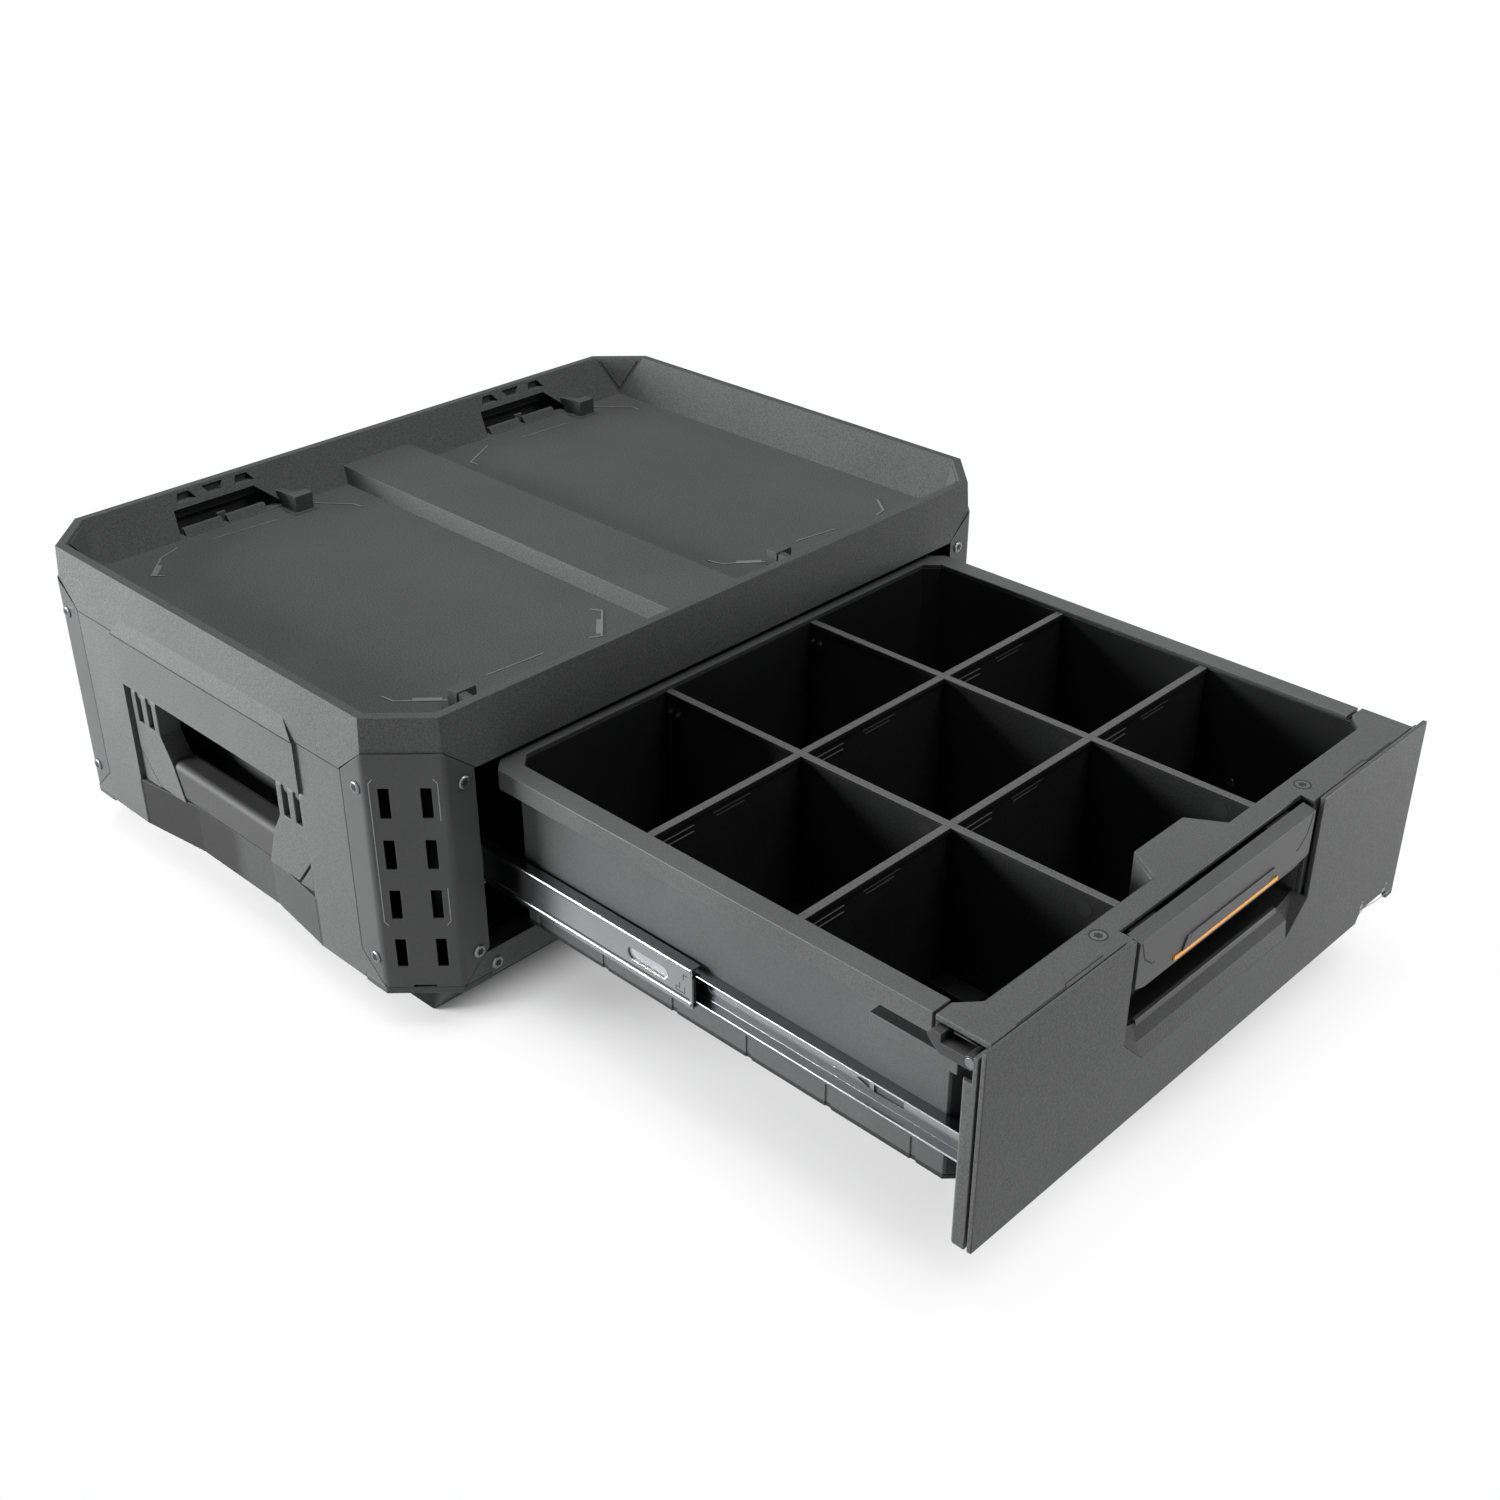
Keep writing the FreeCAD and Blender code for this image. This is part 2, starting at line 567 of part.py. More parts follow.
def make_top_cover():
    body = prismatoid(octagon(0), COVER_Z, octagon(RIM_DRAFT), BODY_HEIGHT)
    body = body.cut(tray_hollow(0, 0))
    cavity_top = DECK_UNDER + CAVITY_RISE
    cavity = prismatoid(octagon(WALL), COVER_Z - OVERSHOOT, octagon(WALL + RIM_DRAFT), cavity_top)
    body = body.cut(cavity.cut(tray_hollow(WALL, DECK_THICK)))
    band_end = HALF_D - RIM_INSET - WALL
    band_outline = [
        (-BAND_FOOT_HALF, DECK_Z),
        (BAND_FOOT_HALF, DECK_Z),
        (BAND_HALF, DECK_Z + BAND_HEIGHT),
        (-BAND_HALF, DECK_Z + BAND_HEIGHT),
    ]
    band = prism_y(band_outline, -band_end, band_end)
    walls = prismatoid(octagon(RIM_DRAFT), DECK_UNDER, octagon(RIM_INSET), BODY_HEIGHT)
    lugs = []
    for x, y in ((-LUG_NEAR_X, LUG_Y), (LUG_FAR_X, LUG_Y), (LUG_NEAR_X, -LUG_Y), (-LUG_FAR_X, -LUG_Y)):
        lug = box(x - LUG_LENGTH / 2, x + LUG_LENGTH / 2, y - LUG_DEPTH / 2, y + LUG_DEPTH / 2,
                  DECK_Z, DECK_Z + LUG_HEIGHT)
        lugs.append(lug)
    lip_section = [
        (-HALF_W - SIDE_PROUD, COVER_Z),
        (-HALF_W + WALL, COVER_Z),
        (-HALF_W + WALL, COVER_Z + SIDE_LIP_RISE),
        (-HALF_W + RIM_DRAFT / 2, COVER_Z + SIDE_LIP_RISE),
    ]
    lip_outline = [
        (-SIDE_LIP_HALF, COVER_Z),
        (SIDE_LIP_HALF, COVER_Z),
        (SIDE_LIP_TOP_HALF, COVER_Z + SIDE_LIP_RISE),
        (-SIDE_LIP_TOP_HALF, COVER_Z + SIDE_LIP_RISE),
    ]
    lip = prism_y(lip_section, -SIDE_LIP_HALF, SIDE_LIP_HALF)
    lip = lip.common(prism_x(lip_outline, -BODY_WIDTH, 0))
    body = joined([body, band.common(walls)] + lugs + both_sides(lip))
    cutters = all_corners(corner_sheet(-OVERSHOOT, PLATE_THICK, PLATE_SEAM))
    wall_y = HALF_D - TRAY_INSET
    slope = (TRAY_INSET - RIM_INSET) / TRAY_DEPTH
    for shift in (0, POCKET_SHIFT):
        right = shift - POCKET_NEAR_X
        left = right - POCKET_WIDTH
        pocket = [
            (left, DECK_Z + POCKET_SILL),
            (right, DECK_Z + POCKET_SILL),
            (right - POCKET_SLANT, DECK_Z + POCKET_HEIGHT),
            (left + POCKET_LEFT_SLANT, DECK_Z + POCKET_HEIGHT),
        ]
        back = wall_y + POCKET_HEIGHT * slope + POCKET_DEPTH
        cutters.append(prism_y(pocket, wall_y - POCKET_DEPTH, back))
        for i in range(VENT_COUNT):
            x = left + VENT_START + i * VENT_PITCH
            y = wall_y + VENT_RISE * slope
            low = DECK_Z + VENT_RISE
            high = low + VENT_HEIGHT
            far = x + VENT_WIDTH
            low_in = VENT_SLANT * (i % 2)
            high_in = VENT_SLANT - low_in
            vent = [(x + low_in, low), (far - low_in, low), (far - high_in, high), (x + high_in, high)]
            back = y + VENT_HEIGHT * slope + VENT_DEPTH
            cutters.append(prism_y(vent, y - VENT_DEPTH * 2, back))
    return body.cut(cutters)


def make_base_pan():
    half_x = HALF_W - FOOT_TOP_INSET
    half_y = HALF_D - FOOT_TOP_INSET
    cut = CORNER_CHAMFER - FOOT_TOP_INSET * (1 - TURN)
    valley_x = half_x - cut / 2 - FOOT_VALLEY
    valley_y = half_y - cut / 2 - FOOT_VALLEY
    ring = [
        (-half_x + cut, -half_y), (half_x - cut, -half_y), (valley_x, -valley_y),
        (half_x, -half_y + cut), (half_x, half_y - cut), (valley_x, valley_y),
        (half_x - cut, half_y), (-half_x + cut, half_y), (-valley_x, valley_y),
        (-half_x, half_y - cut), (-half_x, -half_y + cut), (-valley_x, -valley_y),
    ]
    foot_x = HALF_W - FOOT_INSET
    foot_y = HALF_D - FOOT_INSET
    foot = corner_bridge(ring, rectangle_corners(foot_x, foot_y), BASE_UNDER, 0)
    hollow_x = foot_x - FOOT_WALL
    hollow_y = foot_y - FOOT_WALL
    foot = foot.cut(box(-hollow_x, hollow_x, -hollow_y, hollow_y, -OVERSHOOT, BASE_UNDER + OVERSHOOT))
    plate = prism_z(octagon(0), BASE_UNDER, BASE_TOP)
    side_y = HALF_D - PLATE_REACH
    cutters = both_sides(box(-HALF_W - OVERSHOOT, -HALF_W + SEAT_INSET, -side_y, side_y, 0, BODY_HEIGHT))
    ends = box(-OPENING_HALF, OPENING_HALF, -HALF_D - OVERSHOOT, -HALF_D + WALL, 0, BODY_HEIGHT)
    cutters += [ends, flip_y(ends)]
    return joined([foot, plate]).cut(cutters)


def make_post(is_front):
    outer = PLATE_THICK
    inner = PLATE_THICK + POST_THICK
    bend_out = CORNER_CHAMFER + TURN * outer
    bend_in = CORNER_CHAMFER + TURN * inner
    plan = [
        (PLATE_REACH, outer), (bend_out, outer), (outer, bend_out), (outer, PLATE_REACH),
        (inner, PLATE_REACH), (inner, bend_in), (bend_in, inner), (PLATE_REACH, inner),
    ]
    post = prism_z([(u - HALF_W, v - HALF_D) for u, v in plan], BASE_TOP, COVER_Z)
    if is_front:
        jamb = box(-OPENING_HALF - POST_THICK, -OPENING_HALF, -HALF_D + outer, -HALF_D + JAMB_DEPTH,
                   BASE_TOP, COVER_Z)
        post = joined([post, jamb])
        half = (SLOT_SPACING + SLOT_WIDTH) / 2 + WINDOW_MARGIN
        low = SLOT_LOWEST - SLOT_HEIGHT / 2 - WINDOW_MARGIN
        high = SLOT_LOWEST + SLOT_PITCH * (SLOT_ROWS - 1) + SLOT_HEIGHT / 2 + WINDOW_MARGIN
        post = post.cut(facet_block(0, half, low, high))
    return post.cut(corner_screw_shanks())


def corner_screw_spots():
    front_x = SCREW_FRONT_REACH - HALF_W
    side_y = SCREW_SIDE_REACH - HALF_D
    spots = []
    for z in (SCREW_LOW_Z, SCREW_HIGH_Z):
        spots.append((Vector(front_x, -HALF_D, z), Vector(0, 1, 0)))
        spots.append((Vector(-HALF_W, side_y, z), Vector(1, 0, 0)))
    return spots


def corner_screw_shanks():
    length = PLATE_THICK + POST_THICK
    return [Part.makeCylinder(SCREW_SHANK, length, spot, into) for spot, into in corner_screw_spots()]


def screw(spot, into, length):
    head = Part.makeCylinder(SCREW_HEAD, SCREW_HEAD_RISE, spot, into * -1)
    top = spot - into * SCREW_HEAD_RISE
    rim = [edge for edge in head.Edges if edge.CenterOfMass.distanceToPoint(top) < SCREW_HEAD_RISE / 4]
    head = head.makeChamfer(SCREW_HEAD_RISE / 2, rim)
    shank = Part.makeCylinder(SCREW_SHANK, length, spot, into)
    socket = Part.makeCylinder(SCREW_SOCKET, SCREW_SOCKET_DEPTH, top, into)
    return joined([head, shank]).cut(socket)


def make_plate(is_front):
    plate = corner_sheet(0.0, PLATE_THICK, 0.0)
    bends = []
    for edge in plate.Edges:
        first, last = edge.Vertexes[0].Point, edge.Vertexes[-1].Point
        upright = abs(first.x - last.x) < TOUCH and abs(first.y - last.y) < TOUCH
        at_front = abs(first.y + HALF_D) < TOUCH and abs(first.x + HALF_W - CORNER_CHAMFER) < TOUCH
        at_side = abs(first.x + HALF_W) < TOUCH and abs(first.y + HALF_D - CORNER_CHAMFER) < TOUCH
        if upright and (at_front or at_side):
            bends.append(edge)
    plate = plate.makeFillet(PLATE_BEND, bends)
    cutters = [facet_block(0, PLATE_NOTCH_HALF, PLATE_BOTTOM - OVERSHOOT, PLATE_BOTTOM + PLATE_NOTCH_RISE)]
    if is_front:
        for row in range(SLOT_ROWS):
            low = SLOT_LOWEST + row * SLOT_PITCH - SLOT_HEIGHT / 2
            for side in (-1, 1):
                slot = facet_block(side * SLOT_SPACING / 2, SLOT_WIDTH / 2, low, low + SLOT_HEIGHT)
                cutters.append(slot)
    return plate.cut(cutters + corner_screw_shanks())


def rail_screw_spot():
    return Vector(-OPENING_HALF + RAIL_SCREW_INSET, -HALF_D, RAIL_SCREW_Z)


def make_cabinet_screws():
    length = PLATE_THICK + POST_THICK
    corner = [screw(spot, into, length) for spot, into in corner_screw_spots()]
    screws = []
    for one in corner:
        screws += all_corners(one)
    screws += both_sides(screw(rail_screw_spot(), Vector(0, 1, 0), WALL))
    return Part.makeCompound(screws)


def tab_outline(top):
    run = CORNER_CHAMFER + PLATE_SEAM
    fall = (PLATE_REACH - CORNER_CHAMFER) / PLATE_WING_RISE
    top_u = PLATE_REACH - (PLATE_WING_LOW - top) * fall + PLATE_SEAM
    return run, top_u


def make_front_rail():
    face = box(-OPENING_HALF, OPENING_HALF, -HALF_D, -HALF_D + WALL, FOOT_HEIGHT, RAIL_TOP)
    shelf = box(-OPENING_HALF, OPENING_HALF, -HALF_D, -HALF_D + RAIL_DEPTH, RAIL_TOP - WALL, RAIL_TOP)
    ribs = []
    for i in range(RAIL_RIBS):
        x = (i - (RAIL_RIBS - 1) / 2) * OPENING_HALF * 2 / (RAIL_RIBS + 1)
        ribs.append(box(x - WALL / 2, x + WALL / 2, -HALF_D + WALL, -HALF_D + RAIL_DEPTH, BASE_TOP, RAIL_TOP))
    low_u, high_u = tab_outline(RAIL_TOP)
    tab = [
        (-OPENING_HALF, BASE_TOP),
        (low_u - HALF_W, BASE_TOP),
        (high_u - HALF_W, RAIL_TOP),
        (-OPENING_HALF, RAIL_TOP),
    ]
    tab = prism_y(tab, -HALF_D, -HALF_D + PLATE_THICK)
    rail = joined([face, shelf] + ribs + both_sides(tab))
    hole = Part.makeCylinder(SCREW_SHANK, WALL, rail_screw_spot(), Vector(0, 1, 0))
    return rail.cut(both_sides(hole))


def make_back_panel():
    panel = box(-OPENING_HALF, OPENING_HALF, HALF_D - WALL, HALF_D, FOOT_HEIGHT, COVER_Z)
    low_u, high_u = tab_outline(PLATE_WING_LOW)
    tab_top = PLATE_WING_LOW - PLATE_SEAM
    tab = [(-OPENING_HALF, BASE_TOP), (low_u - HALF_W, BASE_TOP), (-OPENING_HALF, tab_top)]
    tab = prism_y(tab, HALF_D - PLATE_THICK, HALF_D)
    field_x = OPENING_HALF - BACK_FIELD_INSET
    fields = []
    for side in (-1, 1):
        near = BACK_FIELD_INSET / 2 * side
        far = field_x * side
        fields.append(box(min(near, far), max(near, far), HALF_D - BACK_FIELD_DEPTH, HALF_D + OVERSHOOT,
                          FOOT_HEIGHT + BACK_FIELD_INSET, COVER_Z - BACK_FIELD_INSET))
    return joined([panel] + both_sides(tab)).cut(fields)


def lower_face(shift):
    face = -HALF_W + shift
    return [
        (face, -PANEL_PROUD_HALF),
        (face + LOWER_RECESS, -LOWER_FLAT_HALF),
        (face + LOWER_RECESS, LOWER_FLAT_HALF),
        (face, PANEL_PROUD_HALF),
    ]


def make_side_panel():
    end_y = HALF_D - PLATE_REACH
    face = -HALF_W
    back = face + RECESS_DEPTH
    outer_half = RECESS_HALF + WALL
    lower = [(face, -end_y)] + lower_face(0) + [(face, end_y)]
    lower += [(face + WALL, end_y)] + lower_face(WALL)[::-1] + [(face + WALL, -end_y)]
    pieces = [prism_z(lower, FOOT_HEIGHT, RECESS_FLOOR)]
    shelf = [(face, -outer_half)] + lower_face(0) + [(face, outer_half)]
    shelf += [(back + WALL, outer_half), (back + WALL, -outer_half)]
    pieces.append(prism_z(shelf, RECESS_FLOOR - WALL, RECESS_FLOOR))
    pieces.append(box(back, back + WALL, -outer_half, outer_half, RECESS_FLOOR - WALL, RECESS_TOP + WALL))
    pieces.append(box(face - SIDE_PROUD, back + WALL, -PANEL_PROUD_HALF, PANEL_PROUD_HALF,
                      RECESS_TOP, RECESS_TOP + WALL))
    pieces.append(box(face - SIDE_PROUD, face + WALL, -PANEL_PROUD_HALF, PANEL_PROUD_HALF,
                      RECESS_TOP, COVER_Z))
    low_u = CORNER_CHAMFER + PLATE_SEAM
    pillar = box(face, face + WALL, RECESS_HALF, end_y, FOOT_HEIGHT, COVER_Z)
    cheek = box(face, back + WALL, RECESS_HALF, outer_half, RECESS_FLOOR - WALL, RECESS_TOP + WALL)
    tab = [(end_y, BASE_TOP), (HALF_D - low_u, BASE_TOP), (end_y, PLATE_WING_LOW - PLATE_SEAM)]
    tab = prism_x(tab, face, face + PLATE_THICK)
    for piece in (pillar, cheek, tab):
        pieces += [piece, flip_y(piece)]
    pin_x = -HANDLE_PIN_X
    for y in (HINGE_SLOT_NEAR, HINGE_SLOT_FAR):
        half = HINGE_SLOT_WIDTH / 2 - HINGE_TAB_PLAY
        lug = box(pin_x - HINGE_TAB_ROUND, pin_x + HINGE_TAB_ROUND, y - half, y + half,
                  HANDLE_PIN_Z, RECESS_TOP)
        lug = joined([lug, rod_y(pin_x, HANDLE_PIN_Z, HINGE_TAB_ROUND, y - half, y + half)])
        pieces += [lug, flip_y(lug)]
    panel = joined(pieces)
    bore = rod_y(pin_x, HANDLE_PIN_Z, HANDLE_PIN, HANDLE_LEG_INNER, RECESS_HALF)
    return panel.cut([bore, flip_y(bore)])


def make_hinge_pins():
    pin = rod_y(-HANDLE_PIN_X, HANDLE_PIN_Z, HANDLE_PIN, HANDLE_LEG_INNER, RECESS_HALF)
    return Part.makeCompound(all_corners(pin))


def grip_outline(grow):
    return [
        (-GRIP_HALF - grow, GRIP_TOP_Z),
        (-GRIP_LOW_HALF - grow, HANDLE_BOTTOM_Z),
        (GRIP_LOW_HALF + grow, HANDLE_BOTTOM_Z),
        (GRIP_HALF + grow, GRIP_TOP_Z),
    ]


def grip_core():
    front = -HANDLE_PIN_X - HANDLE_THICK / 2 + GRIP_CORE_MARGIN
    back = -HANDLE_PIN_X + HANDLE_THICK / 2 - GRIP_CORE_BACK
    return box(front, back, -HANDLE_BOTTOM_HALF, HANDLE_BOTTOM_HALF,
               HANDLE_BOTTOM_Z + GRIP_CORE_MARGIN, GRIP_TOP_Z - GRIP_CORE_MARGIN)


def make_handle_frame():
    front = -HANDLE_PIN_X - HANDLE_THICK / 2
    back = -HANDLE_PIN_X + HANDLE_THICK / 2
    outline = [
        (HANDLE_HALF, HANDLE_PIN_Z), (HANDLE_HALF, HANDLE_SHOULDER_Z),
        (HANDLE_BOTTOM_HALF, HANDLE_BOTTOM_Z), (-HANDLE_BOTTOM_HALF, HANDLE_BOTTOM_Z),
        (-HANDLE_HALF, HANDLE_SHOULDER_Z), (-HANDLE_HALF, HANDLE_PIN_Z),
        (-HANDLE_LEG_INNER, HANDLE_PIN_Z), (-HANDLE_LEG_INNER, HANDLE_CROOK_Z),
        (-GRIP_HALF, GRIP_TOP_Z), (GRIP_HALF, GRIP_TOP_Z),
        (HANDLE_LEG_INNER, HANDLE_CROOK_Z), (HANDLE_LEG_INNER, HANDLE_PIN_Z),
    ]
    bail = prism_x(outline, front, back)
    knuckle = rod_y(-HANDLE_PIN_X, HANDLE_PIN_Z, HANDLE_THICK / 2, HANDLE_LEG_INNER, HANDLE_HALF)
    bail = joined([bail, knuckle, flip_y(knuckle)])
    cutters = [prism_x(grip_outline(0), front - OVERSHOOT, back + OVERSHOOT)]
    for y in (HINGE_SLOT_NEAR, HINGE_SLOT_FAR):
        half = HINGE_SLOT_WIDTH / 2
        slot = box(front - OVERSHOOT, back + OVERSHOOT, y - half, y + half,
                   HINGE_SLOT_LOW, HANDLE_PIN_Z + HANDLE_THICK)
        cutters += [slot, flip_y(slot)]
    bore = rod_y(-HANDLE_PIN_X, HANDLE_PIN_Z, HANDLE_PIN + HANDLE_PIN_PLAY, 0, HANDLE_HALF + OVERSHOOT)
    cutters += [bore, flip_y(bore)]
    return joined([bail.cut(cutters), grip_core()])


def make_handle_grip():
    front = -HANDLE_PIN_X - HANDLE_THICK / 2 + GRIP_FRONT
    back = -HANDLE_PIN_X + HANDLE_THICK / 2 + GRIP_BACK
    sleeve = box(front, back, -GRIP_HALF, GRIP_HALF, HANDLE_BOTTOM_Z, GRIP_TOP_Z)
    long_edges = []
    for edge in sleeve.Edges:
        if abs(edge.Vertexes[0].Y - edge.Vertexes[-1].Y) > GRIP_HALF:
            long_edges.append(edge)
    sleeve = sleeve.makeFillet(GRIP_ROUND, long_edges)
    sleeve = sleeve.common(prism_x(grip_outline(-GRIP_SEAM), front, back))
    return sleeve.cut(grip_core())


def make_slide_wall():
    rear = HALF_D - SLIDE_WALL_REAR
    front = -HALF_D + SLIDE_WALL_FRONT
    wall = box(-SLIDE_WALL_X - WALL, -SLIDE_WALL_X, front, rear, BASE_TOP, DECK_UNDER)
    step = box(-OPENING_HALF, -SLIDE_WALL_X, front, front + WALL, BASE_TOP, SLIDE_NOTCH_Z)
    notch = box(-OPENING_HALF, 0, front - OVERSHOOT, -HALF_D + JAMB_DEPTH, SLIDE_NOTCH_Z, BODY_HEIGHT)
    return joined([wall, step]).cut([notch] + outer_rivets())


def channel(web_out, web_in, flange_end, half, y0, y1):
    web = box(web_out, web_in, y0, y1, SLIDE_Z - half, SLIDE_Z + half)
    left = min(web_out, flange_end)
    right = max(web_in, flange_end)
    top = box(left, right, y0, y1, SLIDE_Z + half - SLIDE_SHEET, SLIDE_Z + half)
    low = box(left, right, y0, y1, SLIDE_Z - half, SLIDE_Z - half + SLIDE_SHEET)
    return joined([web, top, low])


def outer_rivets():
    front = -HALF_D + SLIDE_FRONT
    inner = -SLIDE_WALL_X + SLIDE_SHEET
    spots = (RIVET_FRONT, RIVET_MIDDLE, RIVET_REAR)
    return [rod_x(front + y, SLIDE_Z, RIVET_RADIUS, -SLIDE_WALL_X - WALL, inner) for y in spots]


def make_slide_outer():
    front = -HALF_D + SLIDE_FRONT
    web = -SLIDE_WALL_X
    member = channel(web, web + SLIDE_SHEET, web + SLIDE_OUTER_FLANGE, SLIDE_OUTER_HALF,
                     front, front + SLIDE_LENGTH)
    return member.cut(outer_rivets())


def middle_front():
    return -HALF_D + SLIDE_FRONT - DRAWER_TRAVEL / 2


def make_slide_middle():
    front = middle_front()
    web = -SLIDE_WALL_X + SLIDE_MIDDLE_WEB
    member = channel(web, web + SLIDE_SHEET, web + SLIDE_MIDDLE_FLANGE, SLIDE_MIDDLE_HALF,
                     front, front + SLIDE_LENGTH)
    y = front + SLIDE_OVAL_BACK
    run = SLIDE_OVAL_LENGTH / 2 - SLIDE_OVAL_HALF
    x0 = web - OVERSHOOT
    x1 = web + SLIDE_SHEET + OVERSHOOT
    oval = box(x0, x1, y - run, y + run, SLIDE_Z - SLIDE_OVAL_HALF, SLIDE_Z + SLIDE_OVAL_HALF)
    ends = [rod_x(y + side * run, SLIDE_Z, SLIDE_OVAL_HALF, x0, x1) for side in (-1, 1)]
    return member.cut([oval] + ends)


def make_slide_stop():
    front = middle_front()
    web = -SLIDE_WALL_X + SLIDE_MIDDLE_WEB + SLIDE_SHEET
    pad = box(web, web + STOP_THICK, front, front + STOP_LENGTH, SLIDE_Z - STOP_HALF, SLIDE_Z + STOP_HALF)
    nose = box(web - SLIDE_SHEET, web + STOP_THICK, front - STOP_NOSE, front,
               SLIDE_Z - STOP_HALF, SLIDE_Z + STOP_HALF)
    return joined([pad, nose])


def inner_rivets():
    outer = -TUB_HALF - SLIDE_SHEET
    spots = (INNER_RIVET_FRONT, INNER_RIVET_MIDDLE, INNER_RIVET_REAR)
    return [rod_x(FRONT_Y + y, SLIDE_Z, RIVET_RADIUS, outer, -TUB_HALF + TUB_WALL) for y in spots]


def make_slide_inner():
    front = FRONT_Y + INNER_SLIDE_FRONT
    web = -TUB_HALF - SLIDE_SHEET
    member = channel(web, -TUB_HALF, web + SLIDE_SHEET - SLIDE_INNER_FLANGE, SLIDE_INNER_HALF,
                     front, front + SLIDE_LENGTH)
    start = FRONT_Y + INNER_WINDOW_START
    peak = start + INNER_WINDOW_LENGTH
    half = INNER_WINDOW_HEIGHT / 2
    x0 = web - OVERSHOOT
    x1 = -TUB_HALF + OVERSHOOT
    window = box(x0, x1, start, peak, SLIDE_Z - half, SLIDE_Z + half)
    lever = [
        (peak + half, SLIDE_Z - half),
        (peak + INNER_WINDOW_HEIGHT * 2, SLIDE_Z),
        (peak + half, SLIDE_Z + half),
    ]
    return member.cut([window, prism_x(lever, x0, x1)] + inner_rivets())


def make_rivets(rivets):
    made = []
    for rivet in rivets:
        made += both_sides(rivet)
    return Part.makeCompound(made)


def ball_spots(middle, x, half):
    spots = []
    for i in range(BALL_COUNT):
        y = middle + (i - (BALL_COUNT - 1) / 2) * BALL_PITCH
        spots += [Vector(x, y, SLIDE_Z - half), Vector(x, y, SLIDE_Z + half)]
    return spots


def outer_row():
    half = (SLIDE_OUTER_HALF - SLIDE_SHEET + SLIDE_MIDDLE_HALF) / 2
    web_out = -SLIDE_WALL_X + SLIDE_SHEET
    web_in = -SLIDE_WALL_X + SLIDE_MIDDLE_WEB
    rest_rear = middle_front() + SLIDE_LENGTH
    middle = (-HALF_D + SLIDE_FRONT + rest_rear) / 2
    return middle, web_out, web_in, half


def inner_row():
    half = (SLIDE_MIDDLE_HALF - SLIDE_SHEET + SLIDE_INNER_HALF) / 2
    web_out = -SLIDE_WALL_X + SLIDE_MIDDLE_WEB + SLIDE_SHEET
    web_in = -TUB_HALF - SLIDE_INNER_FLANGE
    rest_rear = FRONT_Y + INNER_SLIDE_FRONT + SLIDE_LENGTH
    middle = (middle_front() + rest_rear) / 2
    return middle, web_out, web_in, half


def make_cages(row):
    middle, web_out, web_in, half = row
    y0 = middle - CAGE_LENGTH / 2
    y1 = middle + CAGE_LENGTH / 2
    x0 = (web_out + web_in - CAGE_SHEET) / 2
    ball_x = ball_line(row)
    end = ball_x + BALL_RADIUS * 2
    levels = (SLIDE_Z - half, SLIDE_Z + half)
    bars = [box(x0, end, y0, y1, z - CAGE_BAR / 2, z + CAGE_BAR / 2) for z in levels]
    strap = box(x0, x0 + CAGE_SHEET, y0, y1, SLIDE_Z - half, SLIDE_Z + half)
    holes = []
    for spot in ball_spots(middle, ball_x, half):
        holes.append(rod_z(spot.x, spot.y, BALL_RADIUS + BALL_PLAY, spot.z - CAGE_BAR, spot.z + CAGE_BAR))
    return Part.makeCompound(both_sides(joined(bars + [strap]).cut(holes)))


def ball_line(row):
    middle, web_out, web_in, half = row
    return web_in + BALL_RADIUS * 2


def make_balls(row):
    middle, web_out, web_in, half = row
    balls = []
    for spot in ball_spots(middle, ball_line(row), half):
        balls += both_sides(Part.makeSphere(BALL_RADIUS, spot))
    return Part.makeCompound(balls)


def tub_plan(inset):
    cut = TUB_CHAMFER - inset * (1 - TURN)
    return cut_rectangle(TUB_HALF - inset, TUB_FRONT_Y + inset, TUB_REAR_Y - inset, cut)


def tub_grooves():
    grooves = []
    for i in range(GROOVE_COUNT):
        y0 = FRONT_Y + GROOVE_FIRST + i * GROOVE_SPAN / (GROOVE_COUNT - 1) - GROOVE_WIDTH / 2
        groove = box(-TUB_HALF - OVERSHOOT, -TUB_HALF + GROOVE_DEPTH, y0, y0 + GROOVE_WIDTH,
                     TUB_BOTTOM - OVERSHOOT, GROOVE_TOP)
        grooves += both_sides(groove)
    return grooves


def make_drawer_floor():
    return prism_z(tub_plan(0), TUB_BOTTOM, TUB_FLOOR).cut(tub_grooves())


def make_drawer_tub():
    walls = prism_z(tub_plan(0), TUB_FLOOR, CAP_UNDER)
    ear = box(-TUB_HALF, -TUB_HALF + TUB_WALL, FRONT_Y + FRAME_DEPTH, TUB_FRONT_Y + TUB_CHAMFER,
              EAR_LOW, EAR_TOP)
    rib = box(-TUB_HALF - SIDE_RIB_OUT, -TUB_HALF, FRONT_Y + SIDE_RIB_FRONT, FRONT_Y + SIDE_RIB_BACK,
              SIDE_RIB_Z, SIDE_RIB_Z + SIDE_RIB_THICK)
    tub = joined([walls] + both_sides(ear) + both_sides(rib))
    cutters = [prism_z(tub_plan(TUB_WALL), TUB_FLOOR - OVERSHOOT, BODY_HEIGHT)] + tub_grooves()
    for rivet in inner_rivets():
        cutters += both_sides(rivet)
    return tub.cut(cutters)


